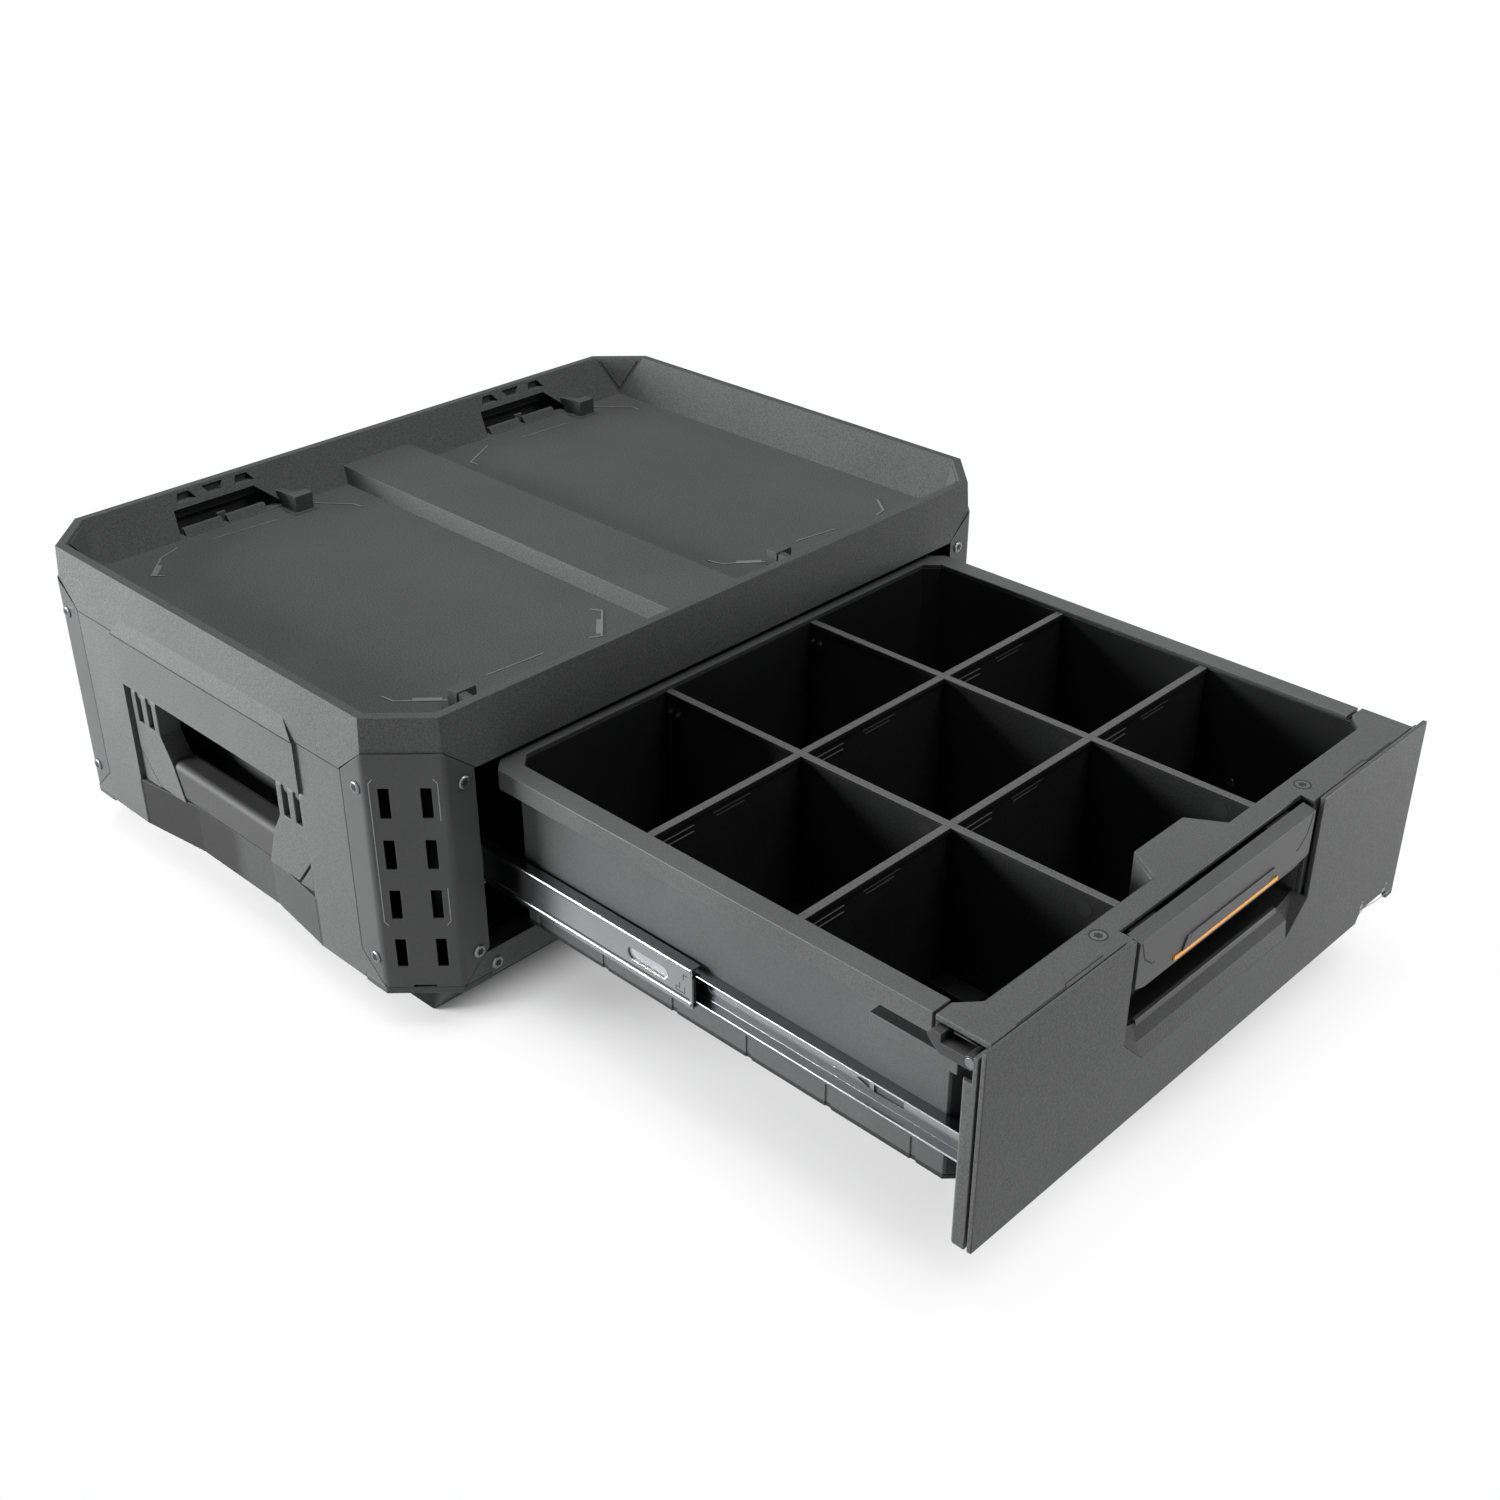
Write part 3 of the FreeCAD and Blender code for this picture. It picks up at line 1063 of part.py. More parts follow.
def make_drawer_rim():
    front = FRONT_Y + RIM_FRONT
    rear = TUB_REAR_Y + RIM_REAR
    side = rear - RIM_CHAMFER
    end = RIM_HALF - RIM_CHAMFER
    plan = [
        (-RIM_HALF, front), (RIM_HALF, front), (RIM_HALF, side),
        (end, rear), (-end, rear), (-RIM_HALF, side),
    ]
    under_half = RIM_HALF - RIM_THICK
    under_front = front - OVERSHOOT
    under_side = side - RIM_THICK * TURN
    under_end = end - RIM_THICK * TURN
    under_rear = rear - RIM_THICK
    under_plan = [
        (-under_half, under_front), (under_half, under_front), (under_half, under_side),
        (under_end, under_rear), (-under_end, under_rear), (-under_half, under_side),
    ]
    under = prism_z(under_plan, RIM_LIP_LOW - OVERSHOOT, CAP_UNDER)
    mouth = prism_z(tub_plan(TUB_WALL), RIM_LIP_LOW, BODY_HEIGHT)
    return prism_z(plan, RIM_LIP_LOW, RIM_TOP).cut([under, mouth])


def make_long_divider():
    half = DIVIDER_THICK / 2
    bead = BEAD_WIDTH / 2
    y0 = TUB_FRONT_Y + TUB_WALL
    y1 = TUB_REAR_Y - TUB_WALL
    web = box(-DIVIDER_X - half, -DIVIDER_X + half, y0, y1, TUB_FLOOR, DIVIDER_TOP)
    top = box(-DIVIDER_X - bead, -DIVIDER_X + bead, y0, y1, DIVIDER_TOP - BEAD_HEIGHT, DIVIDER_TOP)
    return joined([web, top])


def make_cross_divider(row, column):
    half = DIVIDER_THICK / 2
    bead = BEAD_WIDTH / 2
    y = TUB_FRONT_Y + TUB_WALL + row * CELL_LENGTH
    wall = TUB_HALF - TUB_WALL
    if column == "middle":
        x0, x1 = -DIVIDER_X + half, DIVIDER_X - half
        top0, top1 = -DIVIDER_X + bead, DIVIDER_X - bead
    else:
        x0, x1 = -wall, -DIVIDER_X - half
        top0, top1 = -wall, -DIVIDER_X - bead
    if column == "right":
        x0, x1 = -x1, -x0
        top0, top1 = -top1, -top0
    under = DIVIDER_TOP - BEAD_HEIGHT
    pieces = [box(x0, x1, y - half, y + half, TUB_FLOOR, under)]
    pieces.append(box(top0, top1, y - bead, y + bead, under, DIVIDER_TOP))
    for i in range(MARK_COUNT):
        z = DIVIDER_TOP - MARK_DROP - i * MARK_PITCH
        start = x0 + MARK_DROP
        mark = box(start, start + MARK_LENGTH, y - half - MARK_PROUD, y - half, z, z + MARK_HEIGHT)
        pieces.append(mark)
    return joined(pieces)


def pull_outline(shrink, top):
    low = PULL_BOTTOM
    return [
        (-PULL_LOW_HALF + shrink, low),
        (PULL_LOW_HALF - shrink, low),
        (PULL_HALF - shrink, PULL_CORNER_Z),
        (PULL_HALF - shrink, top),
        (-PULL_HALF + shrink, top),
        (-PULL_HALF + shrink, PULL_CORNER_Z),
    ]


def lock_notch(y0, y1):
    low = FRONT_LOW - OVERSHOOT
    high = FRONT_LOW + NOTCH_HEIGHT
    outline = [(NOTCH_LEFT, low), (NOTCH_RIGHT, low)]
    outline += [(NOTCH_RIGHT - NOTCH_SLANT, high), (NOTCH_LEFT + NOTCH_SLANT, high)]
    return prism_y(outline, y0, y1)


def make_front_skin():
    back = FRONT_Y + FRAME_FACE
    sheet = box(-FRAME_HALF, FRAME_HALF, FRONT_Y, FRONT_Y + SKIN_THICK, FRONT_LOW, FRONT_HIGH)
    pad = box(-FRAME_HALF + SKIN_EDGE, FRAME_HALF - SKIN_EDGE, FRONT_Y + SKIN_THICK, back,
              FRONT_LOW + NOTCH_HEIGHT + SKIN_EDGE, CAP_UNDER - SKIN_EDGE)
    before = FRONT_Y - OVERSHOOT
    sheet = sheet.cut([prism_y(pull_outline(0, BODY_HEIGHT), before, back), lock_notch(before, back)])
    pad = pad.cut(prism_y(pull_outline(-SKIN_EDGE, BODY_HEIGHT), FRONT_Y, back + OVERSHOOT))
    return joined([sheet, pad])


def bearing_blocks():
    y0 = FRONT_Y + FRAME_FACE
    blocks = []
    for x in (CAP_SCREW_X, BEARING_OUTER_X):
        block = box(-x - BEARING_WIDTH / 2, -x + BEARING_WIDTH / 2, y0, FRONT_Y + BEARING_BACK,
                    LATCH_Z - BEARING_DROP, CAP_UNDER)
        blocks += both_sides(block)
    return blocks


def cap_screw_spot():
    return Vector(-CAP_SCREW_X, FRONT_Y + CAP_SCREW_BACK, CAP_TOP)


def cap_screw_parts(head_radius, shank_radius):
    spot = cap_screw_spot()
    cone = Part.makeCone(head_radius, shank_radius, head_radius - shank_radius, spot, Vector(0, 0, -1))
    shank = Part.makeCylinder(shank_radius, CAP_SCREW_LENGTH, spot, Vector(0, 0, -1))
    return joined([cone, shank])


def make_cap_screws():
    spot = cap_screw_spot()
    socket = Part.makeCylinder(SCREW_SOCKET, SCREW_SOCKET_DEPTH, spot, Vector(0, 0, -1))
    return Part.makeCompound(both_sides(cap_screw_parts(CAP_SCREW_HEAD, SCREW_SHANK).cut(socket)))


def make_front_frame():
    face = FRONT_Y + FRAME_FACE
    web_back = FRONT_Y + WEB_BACK
    rear = FRONT_Y + FRAME_DEPTH
    web = box(-FRAME_HALF, FRAME_HALF, face, web_back, FRONT_LOW, CAP_UNDER)
    inner = FRAME_HALF - FRAME_RETURN
    side_plan = [
        (-FRAME_HALF, face), (-inner, face), (-inner, rear),
        (-FRAME_HALF + FRAME_CHAMFER, rear), (-FRAME_HALF, rear - FRAME_CHAMFER),
    ]
    side = prism_z(side_plan, FRONT_LOW, CAP_UNDER)
    floor = box(-inner, inner, face, rear, FRONT_LOW, FRONT_LOW + FRAME_RETURN)
    frame = joined([web, floor] + both_sides(side) + bearing_blocks())
    before = face - OVERSHOOT
    cutters = [prism_y(pull_outline(PULL_RIM, BODY_HEIGHT), before, web_back)]
    window = box(-FRAME_HALF - OVERSHOOT, -inner, web_back, rear + OVERSHOOT, HOOK_WINDOW_LOW, BODY_HEIGHT)
    cutters += both_sides(window)
    notch_top = FRONT_LOW + NOTCH_HEIGHT
    cutters.append(box(NOTCH_LEFT, NOTCH_RIGHT, before, rear + OVERSHOOT, FRONT_LOW - OVERSHOOT, notch_top))
    shaft_end = HOOK_OUTER_X - HOOK_WIDTH
    cutters.append(rod_x(LATCH_Y, LATCH_Z, SHAFT_RADIUS + SHAFT_PLAY, -shaft_end, shaft_end))
    cutters += both_sides(cap_screw_parts(CAP_SCREW_HEAD, SCREW_SHANK))
    return frame.cut(cutters)


def make_pull_bucket():
    front = FRONT_Y + WEB_BACK
    outer = [
        (-PULL_LOW_HALF, PULL_BOTTOM - BUCKET_WALL), (PULL_LOW_HALF, PULL_BOTTOM - BUCKET_WALL),
        (PULL_HALF, PULL_CORNER_Z), (PULL_HALF, PULL_CEILING + BUCKET_WALL),
        (-PULL_HALF, PULL_CEILING + BUCKET_WALL), (-PULL_HALF, PULL_CORNER_Z),
    ]
    shell = prism_y(outer, front, TUB_FRONT_Y)
    hollow = prism_y(pull_outline(PULL_RIM, PULL_CEILING), front - OVERSHOOT, TUB_FRONT_Y - BUCKET_WALL)
    half = PULL_HALF - PULL_RIM
    swing = box(-half, half, front - OVERSHOOT, FRONT_Y + PADDLE_SWEEP, PULL_CORNER_Z, BODY_HEIGHT)
    shell = shell.cut([hollow, swing])
    ramp = [
        (FRONT_Y + RAMP_FOOT, PULL_BOTTOM), (FRONT_Y + RAMP_BACK, PULL_BOTTOM),
        (FRONT_Y + RAMP_BACK, PULL_CORNER_Z), (FRONT_Y + RAMP_HEAD, PULL_CORNER_Z),
    ]
    ramp_half = PULL_LOW_HALF - PULL_RIM
    return joined([shell, prism_x(ramp, -ramp_half, ramp_half)])


def make_front_cap():
    front = FRONT_Y + FRAME_FACE
    side_end = FRONT_Y + CAP_SIDE_END
    rear = FRONT_Y + CAP_REAR
    corner = CAP_NOTCH_HALF - CAP_CORNER
    hump_rear = FRONT_Y + HUMP_REAR
    right = [
        (HUMP_TOP_HALF, hump_rear), (HUMP_HALF, rear), (corner, rear), (CAP_NOTCH_HALF, side_end),
        (CAP_HALF, side_end), (CAP_HALF, front),
    ]
    left = [(-x, y) for x, y in right[::-1]]
    top = prism_z(right + left, CAP_UNDER, CAP_TOP)
    hump_front = TUB_FRONT_Y + TUB_WALL
    hump_plan = [
        (-HUMP_HALF, hump_front), (HUMP_HALF, hump_front),
        (HUMP_TOP_HALF, hump_rear), (-HUMP_TOP_HALF, hump_rear),
    ]
    hollow_front = hump_front - OVERSHOOT
    hollow_rear = hump_rear - HUMP_WALL
    wide = HUMP_HALF - HUMP_WALL
    narrow = HUMP_TOP_HALF - HUMP_WALL / 2
    hollow_plan = [(-wide, hollow_front), (wide, hollow_front), (narrow, hollow_rear), (-narrow, hollow_rear)]
    hump = prism_z(hump_plan, HUMP_BOTTOM, CAP_UNDER)
    hump = hump.cut(prism_z(hollow_plan, HUMP_BOTTOM + HUMP_WALL, CAP_UNDER + OVERSHOOT))
    half = PULL_HALF - PULL_RIM
    notch = box(-half, half, front - OVERSHOOT, FRONT_Y + PADDLE_SWEEP, 0, BODY_HEIGHT)
    return joined([top, hump]).cut([notch] + both_sides(cap_screw_parts(CAP_SCREW_HEAD, SCREW_SHANK)))


def make_paddle():
    front = FRONT_Y + PADDLE_FRONT
    back = FRONT_Y + PADDLE_BACK
    top_back = FRONT_Y + PADDLE_TOP_BACK
    lip_top = STRIP_TOP_Z + PADDLE_LIP_RISE
    profile = [
        (front, PADDLE_TOP - PADDLE_BEVEL), (top_back, PADDLE_TOP), (top_back, LATCH_Z - PADDLE_HUB),
        (back, lip_top), (back, PADDLE_BOTTOM), (front + PADDLE_BEVEL, PADDLE_BOTTOM), (front, STRIP_LOW_Z),
    ]
    plate = prism_x(profile, -PADDLE_HALF, PADDLE_HALF)
    lip = [
        (-PADDLE_LIP_HALF, STRIP_TOP_Z), (PADDLE_LIP_HALF, STRIP_TOP_Z),
        (PADDLE_LIP_TOP_HALF, lip_top), (-PADDLE_LIP_TOP_HALF, lip_top),
    ]
    lip = prism_y(lip, front - PADDLE_LIP_PROUD, front)
    hub = rod_x(LATCH_Y, LATCH_Z, PADDLE_HUB, PADDLE_HUB_END - PADDLE_HUB_LENGTH, PADDLE_HUB_END)
    side = -PADDLE_HALF - OVERSHOOT
    low = PADDLE_BOTTOM - OVERSHOOT
    corner = [
        (side, low), (-PADDLE_HALF + PADDLE_CORNER, low), (-PADDLE_HALF + PADDLE_CORNER, PADDLE_BOTTOM),
        (-PADDLE_HALF, PADDLE_BOTTOM + PADDLE_CORNER_RISE), (side, PADDLE_BOTTOM + PADDLE_CORNER_RISE),
    ]
    corner = prism_y(corner, FRONT_Y, LATCH_Y)
    paddle = joined([plate, lip] + both_sides(hub)).cut(both_sides(corner))
    return paddle.cut(rod_x(LATCH_Y, LATCH_Z, SHAFT_RADIUS, side, -side))


def make_accent_strip():
    front = FRONT_Y + PADDLE_FRONT
    return box(-STRIP_HALF, STRIP_HALF, front - STRIP_THICK, front, STRIP_LOW_Z, STRIP_TOP_Z)


def make_latch_shaft():
    return rod_x(LATCH_Y, LATCH_Z, SHAFT_RADIUS, -HOOK_OUTER_X, HOOK_OUTER_X)


def make_latch_hook():
    outer = -HOOK_OUTER_X
    inner = outer + HOOK_WIDTH
    tip_y = HOOK_TIP_Y
    outline = [
        (0, -HOOK_BOSS), (tip_y - HOOK_BOSS * 2, -HOOK_BOSS), (tip_y - HOOK_BOSS, -HOOK_BOSS / 4),
        (tip_y, HOOK_BARB_Z / 2), (tip_y - HOOK_POCKET, HOOK_BARB_Z), (HOOK_BARB_Y, HOOK_BARB_Z),
        (HOOK_BARB_Y, HOOK_POCKET), (0, HOOK_POCKET),
    ]
    arm = prism_x([(LATCH_Y + y, LATCH_Z + z) for y, z in outline], outer, inner)
    hook = joined([arm, rod_x(LATCH_Y, LATCH_Z, HOOK_BOSS, outer, inner)])
    return hook.cut(rod_x(LATCH_Y, LATCH_Z, SHAFT_RADIUS, outer - OVERSHOOT, inner + OVERSHOOT))


def make_strikes():
    rear = LATCH_Y + DRAWER_TRAVEL + HOOK_BARB_Y - STRIKE_SETBACK
    front = rear - STRIKE_WIDTH
    face = -OPENING_HALF
    tongue = box(face, face + STRIKE_REACH, front, rear, STRIKE_Z, STRIKE_Z + STRIKE_THICK)
    plate = box(face, face + STRIKE_PLATE, front, rear + STRIKE_PLATE_MARGIN,
                STRIKE_Z - STRIKE_PLATE_MARGIN, STRIKE_Z + STRIKE_THICK + STRIKE_PLATE)
    return Part.makeCompound(both_sides(joined([tongue, plate])))


def mirrored_nodes(name, shape):
    return {"left_" + name: shape, "right_" + name: flip_x(shape)}


def all_nodes():
    nodes = {
        "top_cover": make_top_cover(),
        "base_pan": make_base_pan(),
        "back_panel": make_back_panel(),
        "front_rail": make_front_rail(),
        "cabinet_screws": make_cabinet_screws(),
        "slide_wall_rivets": make_rivets(outer_rivets()),
        "handle_hinge_pins": make_hinge_pins(),
        "latch_strikes": make_strikes(),
        "drawer_floor": make_drawer_floor(),
        "drawer_tub": make_drawer_tub(),
        "drawer_rim": make_drawer_rim(),
        "drawer_front_frame": make_front_frame(),
        "pull_bucket": make_pull_bucket(),
        "drawer_front_skin": make_front_skin(),
        "drawer_front_cap": make_front_cap(),
        "cap_screws": make_cap_screws(),
        "slide_tub_rivets": make_rivets(inner_rivets()),
        "outer_ball_cages": make_cages(outer_row()),
        "outer_balls": make_balls(outer_row()),
        "inner_ball_cages": make_cages(inner_row()),
        "inner_balls": make_balls(inner_row()),
        "latch_paddle": make_paddle(),
        "paddle_accent_strip": make_accent_strip(),
        "latch_shaft": make_latch_shaft(),
    }
    for place, is_front in (("front", True), ("rear", False)):
        post = make_post(is_front)
        plate = make_plate(is_front)
        if not is_front:
            post = flip_y(post)
            plate = flip_y(plate)
        nodes[place + "_left_post"] = post
        nodes[place + "_right_post"] = flip_x(post)
        nodes[place + "_left_plate"] = plate
        nodes[place + "_right_plate"] = flip_x(plate)
    for row, place in ((1, "front"), (2, "rear")):
        for column in ("left", "middle", "right"):
            nodes["cross_divider_" + place + "_" + column] = make_cross_divider(row, column)
    nodes.update(mirrored_nodes("side_panel", make_side_panel()))
    nodes.update(mirrored_nodes("slide_wall", make_slide_wall()))
    nodes.update(mirrored_nodes("slide_outer", make_slide_outer()))
    nodes.update(mirrored_nodes("slide_middle", make_slide_middle()))
    nodes.update(mirrored_nodes("slide_stop", make_slide_stop()))
    nodes.update(mirrored_nodes("slide_inner", make_slide_inner()))
    nodes.update(mirrored_nodes("handle_frame", make_handle_frame()))
    nodes.update(mirrored_nodes("handle_grip", make_handle_grip()))
    nodes.update(mirrored_nodes("long_divider", make_long_divider()))
    nodes.update(mirrored_nodes("latch_hook", make_latch_hook()))
    return nodes


os.makedirs("parts", exist_ok=True)
for name, shape in all_nodes().items():
    shape.exportStep("parts/" + name + ".step")
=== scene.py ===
import math
import bpy
import bmesh
from mathutils import Matrix, Vector


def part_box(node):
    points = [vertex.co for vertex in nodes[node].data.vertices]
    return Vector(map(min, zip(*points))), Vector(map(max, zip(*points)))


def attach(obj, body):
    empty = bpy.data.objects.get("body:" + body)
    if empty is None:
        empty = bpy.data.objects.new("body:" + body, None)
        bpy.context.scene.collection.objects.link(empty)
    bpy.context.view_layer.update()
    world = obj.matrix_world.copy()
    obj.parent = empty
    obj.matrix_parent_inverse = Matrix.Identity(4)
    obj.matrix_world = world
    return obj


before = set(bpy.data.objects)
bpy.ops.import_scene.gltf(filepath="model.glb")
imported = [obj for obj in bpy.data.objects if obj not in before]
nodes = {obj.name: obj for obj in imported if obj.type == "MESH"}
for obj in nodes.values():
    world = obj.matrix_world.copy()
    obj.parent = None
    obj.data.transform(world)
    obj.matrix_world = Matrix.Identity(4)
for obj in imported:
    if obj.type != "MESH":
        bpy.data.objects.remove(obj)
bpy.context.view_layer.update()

scene = bpy.context.scene
MM = 0.001

LOW, HIGH = 0, 1
X, Y, Z = 0, 1, 2


def reach(node, end, axis):
    """The lowest or highest place of a CAD node along an axis, in millimetres."""
    return round(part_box(node)[end][axis] / MM, 3)


# Sizes of the object in millimetres, from the CAD
HALF_W = reach("base_pan", HIGH, X)
COVER_Z, TOP_Z = reach("top_cover", LOW, Z), reach("top_cover", HIGH, Z)
DECK_Z = TOP_Z - 28.0
FRONT_Y = reach("drawer_front_skin", LOW, Y)
PADDLE_Y = reach("paddle_accent_strip", HIGH, Y)
CAP_Z = reach("drawer_front_cap", HIGH, Z)
TUB_FLOOR = reach("drawer_floor", HIGH, Z)

UP, FACE = (0, 0, 1), (0, -1, 0)
SIDES = ((-1, "left"), (1, "right"))
CORNERS = ((-1, -1), (-1, 1), (1, -1), (1, 1))

# Node helpers

def tree(name):
    """A new material and its empty node tree."""
    mat = bpy.data.materials.new(name)
    mat.use_nodes = True
    mat.node_tree.nodes.clear()
    return mat, mat.node_tree


def add(nt, kind, **values):
    """A new node: in_NAME sets its input NAME, any other word a property."""
    node = nt.nodes.new(kind)
    for key, value in values.items():
        if key.startswith("in_"):
            node.inputs[key[3:].replace("_", " ")].default_value = value
        else:
            setattr(node, key, value)
    return node


def feed(nt, value, target):
    """Links a socket to the target, or sets the target to a plain value."""
    if isinstance(value, bpy.types.NodeSocket):
        nt.links.new(value, target)
    else:
        target.default_value = value


def calc(nt, operation, *values):
    """The result of a Math node on sockets or numbers."""
    node = add(nt, "ShaderNodeMath", operation=operation)
    for value, target in zip(values, node.inputs):
        feed(nt, value, target)
    return node.outputs["Value"]


def vector(nt, operation, *values):
    """The result of a Vector Math node on sockets or plain vectors."""
    node = add(nt, "ShaderNodeVectorMath", operation=operation)
    for value, target in zip(values, node.inputs):
        feed(nt, value, target)
    return node.outputs["Value" if operation in ("DOT_PRODUCT", "LENGTH") else "Vector"]


def split(nt, source):
    """The X, Y and Z sockets of a vector."""
    node = add(nt, "ShaderNodeSeparateXYZ")
    feed(nt, source, node.inputs["Vector"])
    return node.outputs


def mixed(nt, blend_type, factor, a, b):
    """Two colours mixed by a factor, each a socket or a plain value."""
    node = add(nt, "ShaderNodeMix", data_type="RGBA", blend_type=blend_type)
    for value, target in ((factor, "Factor"), (a, "A"), (b, "B")):
        feed(nt, value, node.inputs[target])
    return node.outputs["Result"]


def mapped(nt, value, start, end, low=0.0, high=1.0, kind="LINEAR"):
    """The value carried from start..end to low..high, held at both ends."""
    node = add(nt, "ShaderNodeMapRange", interpolation_type=kind, in_From_Min=start, in_From_Max=end,
               in_To_Min=low, in_To_Max=high)
    feed(nt, value, node.inputs["Value"])
    return node.outputs["Result"]


def noise(nt, place, scale, detail, rough):
    """The value of a noise texture at a place."""
    node = add(nt, "ShaderNodeTexNoise", in_Scale=scale, in_Detail=detail, in_Roughness=rough)
    feed(nt, place, node.inputs["Vector"])
    return node.outputs["Fac"]


def ramp(nt, source, stops):
    """A colour ramp through (position, colour) stops."""
    node = add(nt, "ShaderNodeValToRGB")
    elements = node.color_ramp.elements
    while len(elements) > 1:
        elements.remove(elements[-1])
    for i, (position, color) in enumerate(stops):
        stop = elements[0] if i == 0 else elements.new(position)
        stop.position = position
        stop.color = color
    feed(nt, source, node.inputs["Fac"])
    return node.outputs["Color"]


def grey(value):
    """A neutral colour, with its alpha."""
    return (value, value, value, 1)


def tinted(color, factor, plus=0.0):
    """A colour made lighter or darker, with its alpha."""
    return tuple(min(1, c * factor + plus) for c in color) + (1,)


def facing_up(nt):
    """The upward share of the surface's normal."""
    return split(nt, add(nt, "ShaderNodeNewGeometry").outputs["Normal"])["Z"]


def edge_mask(nt, radius):
    """White along edges, as far as the radius, and black on open faces."""
    bevel = add(nt, "ShaderNodeBevel", samples=4, in_Radius=radius)
    geometry = add(nt, "ShaderNodeNewGeometry")
    bend = vector(nt, "DOT_PRODUCT", bevel.outputs["Normal"], geometry.outputs["Normal"])
    return ramp(nt, bend, [(0.78, grey(1)), (0.985, grey(0))])


# Painted shade and painted light that depend on the place, with limits in metres
INNER_X, INNER_Y = 0.1952, -0.2062
DIVIDER_TOP_Z, UPWARD = 0.15, 0.6
HOLLOW_Z, HOLLOW_Y = 0.066, 0.105
HOLLOW_TURN = (-0.012, 0.004)
HOLLOW_FRONT_SHADE, HOLLOW_REAR_SHADE = 0.52, 0.14


def inner_painted_shade(nt, place, tone, shade):
    """Paints shade: multiplies the tone by shade on the inner faces of the drawer tub."""
    xyz = split(nt, place)
    narrow = calc(nt, "LESS_THAN", calc(nt, "ABSOLUTE", xyz["X"]), INNER_X)
    ahead = calc(nt, "LESS_THAN", xyz["Y"], INNER_Y)
    return mixed(nt, "MULTIPLY", calc(nt, "MULTIPLY", narrow, ahead), tone, grey(shade))


def painted_top_light(nt, place, tone, value):
    """Paints light on the upper edges of the dividers, replacing the painted-shade tone there with a lighter
    one.
    """
    upward = calc(nt, "GREATER_THAN", facing_up(nt), UPWARD)
    high = calc(nt, "GREATER_THAN", split(nt, place)["Z"], DIVIDER_TOP_Z)
    return mixed(nt, "MIX", calc(nt, "MULTIPLY", upward, high), tone, grey(value))


def painted_hollow_shade(nt, place, tone):
    """Paints shade in the hollow under the handle, darkest on its rear half."""
    xyz = split(nt, place)
    low = calc(nt, "LESS_THAN", xyz["Z"], HOLLOW_Z)
    narrow = calc(nt, "LESS_THAN", calc(nt, "ABSOLUTE", xyz["Y"]), HOLLOW_Y)
    along = mapped(nt, xyz["Y"], *HOLLOW_TURN)
    shade = ramp(nt, along, [(0.0, grey(HOLLOW_FRONT_SHADE)), (1.0, grey(HOLLOW_REAR_SHADE))])
    return mixed(nt, "MULTIPLY", calc(nt, "MULTIPLY", low, narrow), tone, shade)


# Materials

PLASTIC_EDGE, METAL_EDGE = 0.0009, 0.0005
PLASTIC_DEPTH, METAL_DEPTH = 0.00035, 0.0002
WALL_FACING, DECK_FACING = 0.3, 0.8


def cloudy(nt, cloud, color, spread):
    """The colour, varied by the spread either way."""
    return ramp(nt, cloud, [(0.3, tinted(color, 1 - spread)), (0.7, tinted(color, 1 + spread))])


def shaded(nt, bsdf, base, gloss, rough_range, height, bump, depth):
    """Gives the shader its colour, roughness and bump, and the material its output."""
    low, high = rough_range
    rough = ramp(nt, gloss, [(0.25, grey(low)), (0.75, grey(high))])
    relief = add(nt, "ShaderNodeBump", in_Strength=bump, in_Distance=depth)
    feed(nt, height, relief.inputs["Height"])
    feed(nt, base, bsdf.inputs["Base Color"])
    feed(nt, rough, bsdf.inputs["Roughness"])
    feed(nt, relief.outputs["Normal"], bsdf.inputs["Normal"])
    feed(nt, bsdf.outputs["BSDF"], add(nt, "ShaderNodeOutputMaterial").inputs["Surface"])


def plastic(name, color, rough, grain=2600.0, bump=0.12, wear=0.35, spread=0.10, spec=0.22, inner=None,
            tops=None, hollow_shade=False, deck_spec=None):
    """Moulded plastic: fine spark-eroded grain, cloudy tone, lighter rubbed edges, and where asked painted
    shade inside the drawer tub, painted light on divider tops and painted shade in the hollow under the
    handle.
    """
    mat, nt = tree(name)
    bsdf = add(nt, "ShaderNodeBsdfPrincipled", in_Specular_IOR_Level=spec)
    if deck_spec is not None:
        shine = mapped(nt, facing_up(nt), WALL_FACING, DECK_FACING, spec, deck_spec)
        feed(nt, shine, bsdf.inputs["Specular IOR Level"])
    place = add(nt, "ShaderNodeTexCoord").outputs["Object"]
    fine = noise(nt, place, scale=grain, detail=2.0, rough=0.6)
    pits = add(nt, "ShaderNodeTexVoronoi", in_Scale=grain * 0.55)
    feed(nt, place, pits.inputs["Vector"])
    cloud = noise(nt, place, scale=9.0, detail=4.0, rough=0.55)
    tone = cloudy(nt, cloud, color, spread)
    # Painted shade on the inner faces of the drawer tub
    if inner:
        tone = inner_painted_shade(nt, place, tone, inner)
    # Painted light on the divider tops
    if tops:
        tone = painted_top_light(nt, place, tone, tops)
    # Painted shade in the hollow under the handle
    if hollow_shade:
        tone = painted_hollow_shade(nt, place, tone)
    speck = ramp(nt, fine, [(0.30, grey(0.66)), (0.72, grey(1.36))])
    grained = mixed(nt, "MULTIPLY", 1.0, tone, speck)
    scuff = noise(nt, place, scale=140.0, detail=3.0, rough=0.7)
    patch = ramp(nt, scuff, [(0.36, grey(0.25)), (0.62, grey(1))])
    rubbed = calc(nt, "MULTIPLY", edge_mask(nt, PLASTIC_EDGE), patch)
    base = mixed(nt, "MIX", calc(nt, "MULTIPLY", rubbed, wear), grained, tinted(color, 2.6, 0.03))
    relief = calc(nt, "ADD", fine, pits.outputs["Distance"])
    rough_range = (max(0.05, rough - 0.07), min(1, rough + 0.07))
    shaded(nt, bsdf, base, cloud, rough_range, relief, bump, PLASTIC_DEPTH)
    return mat


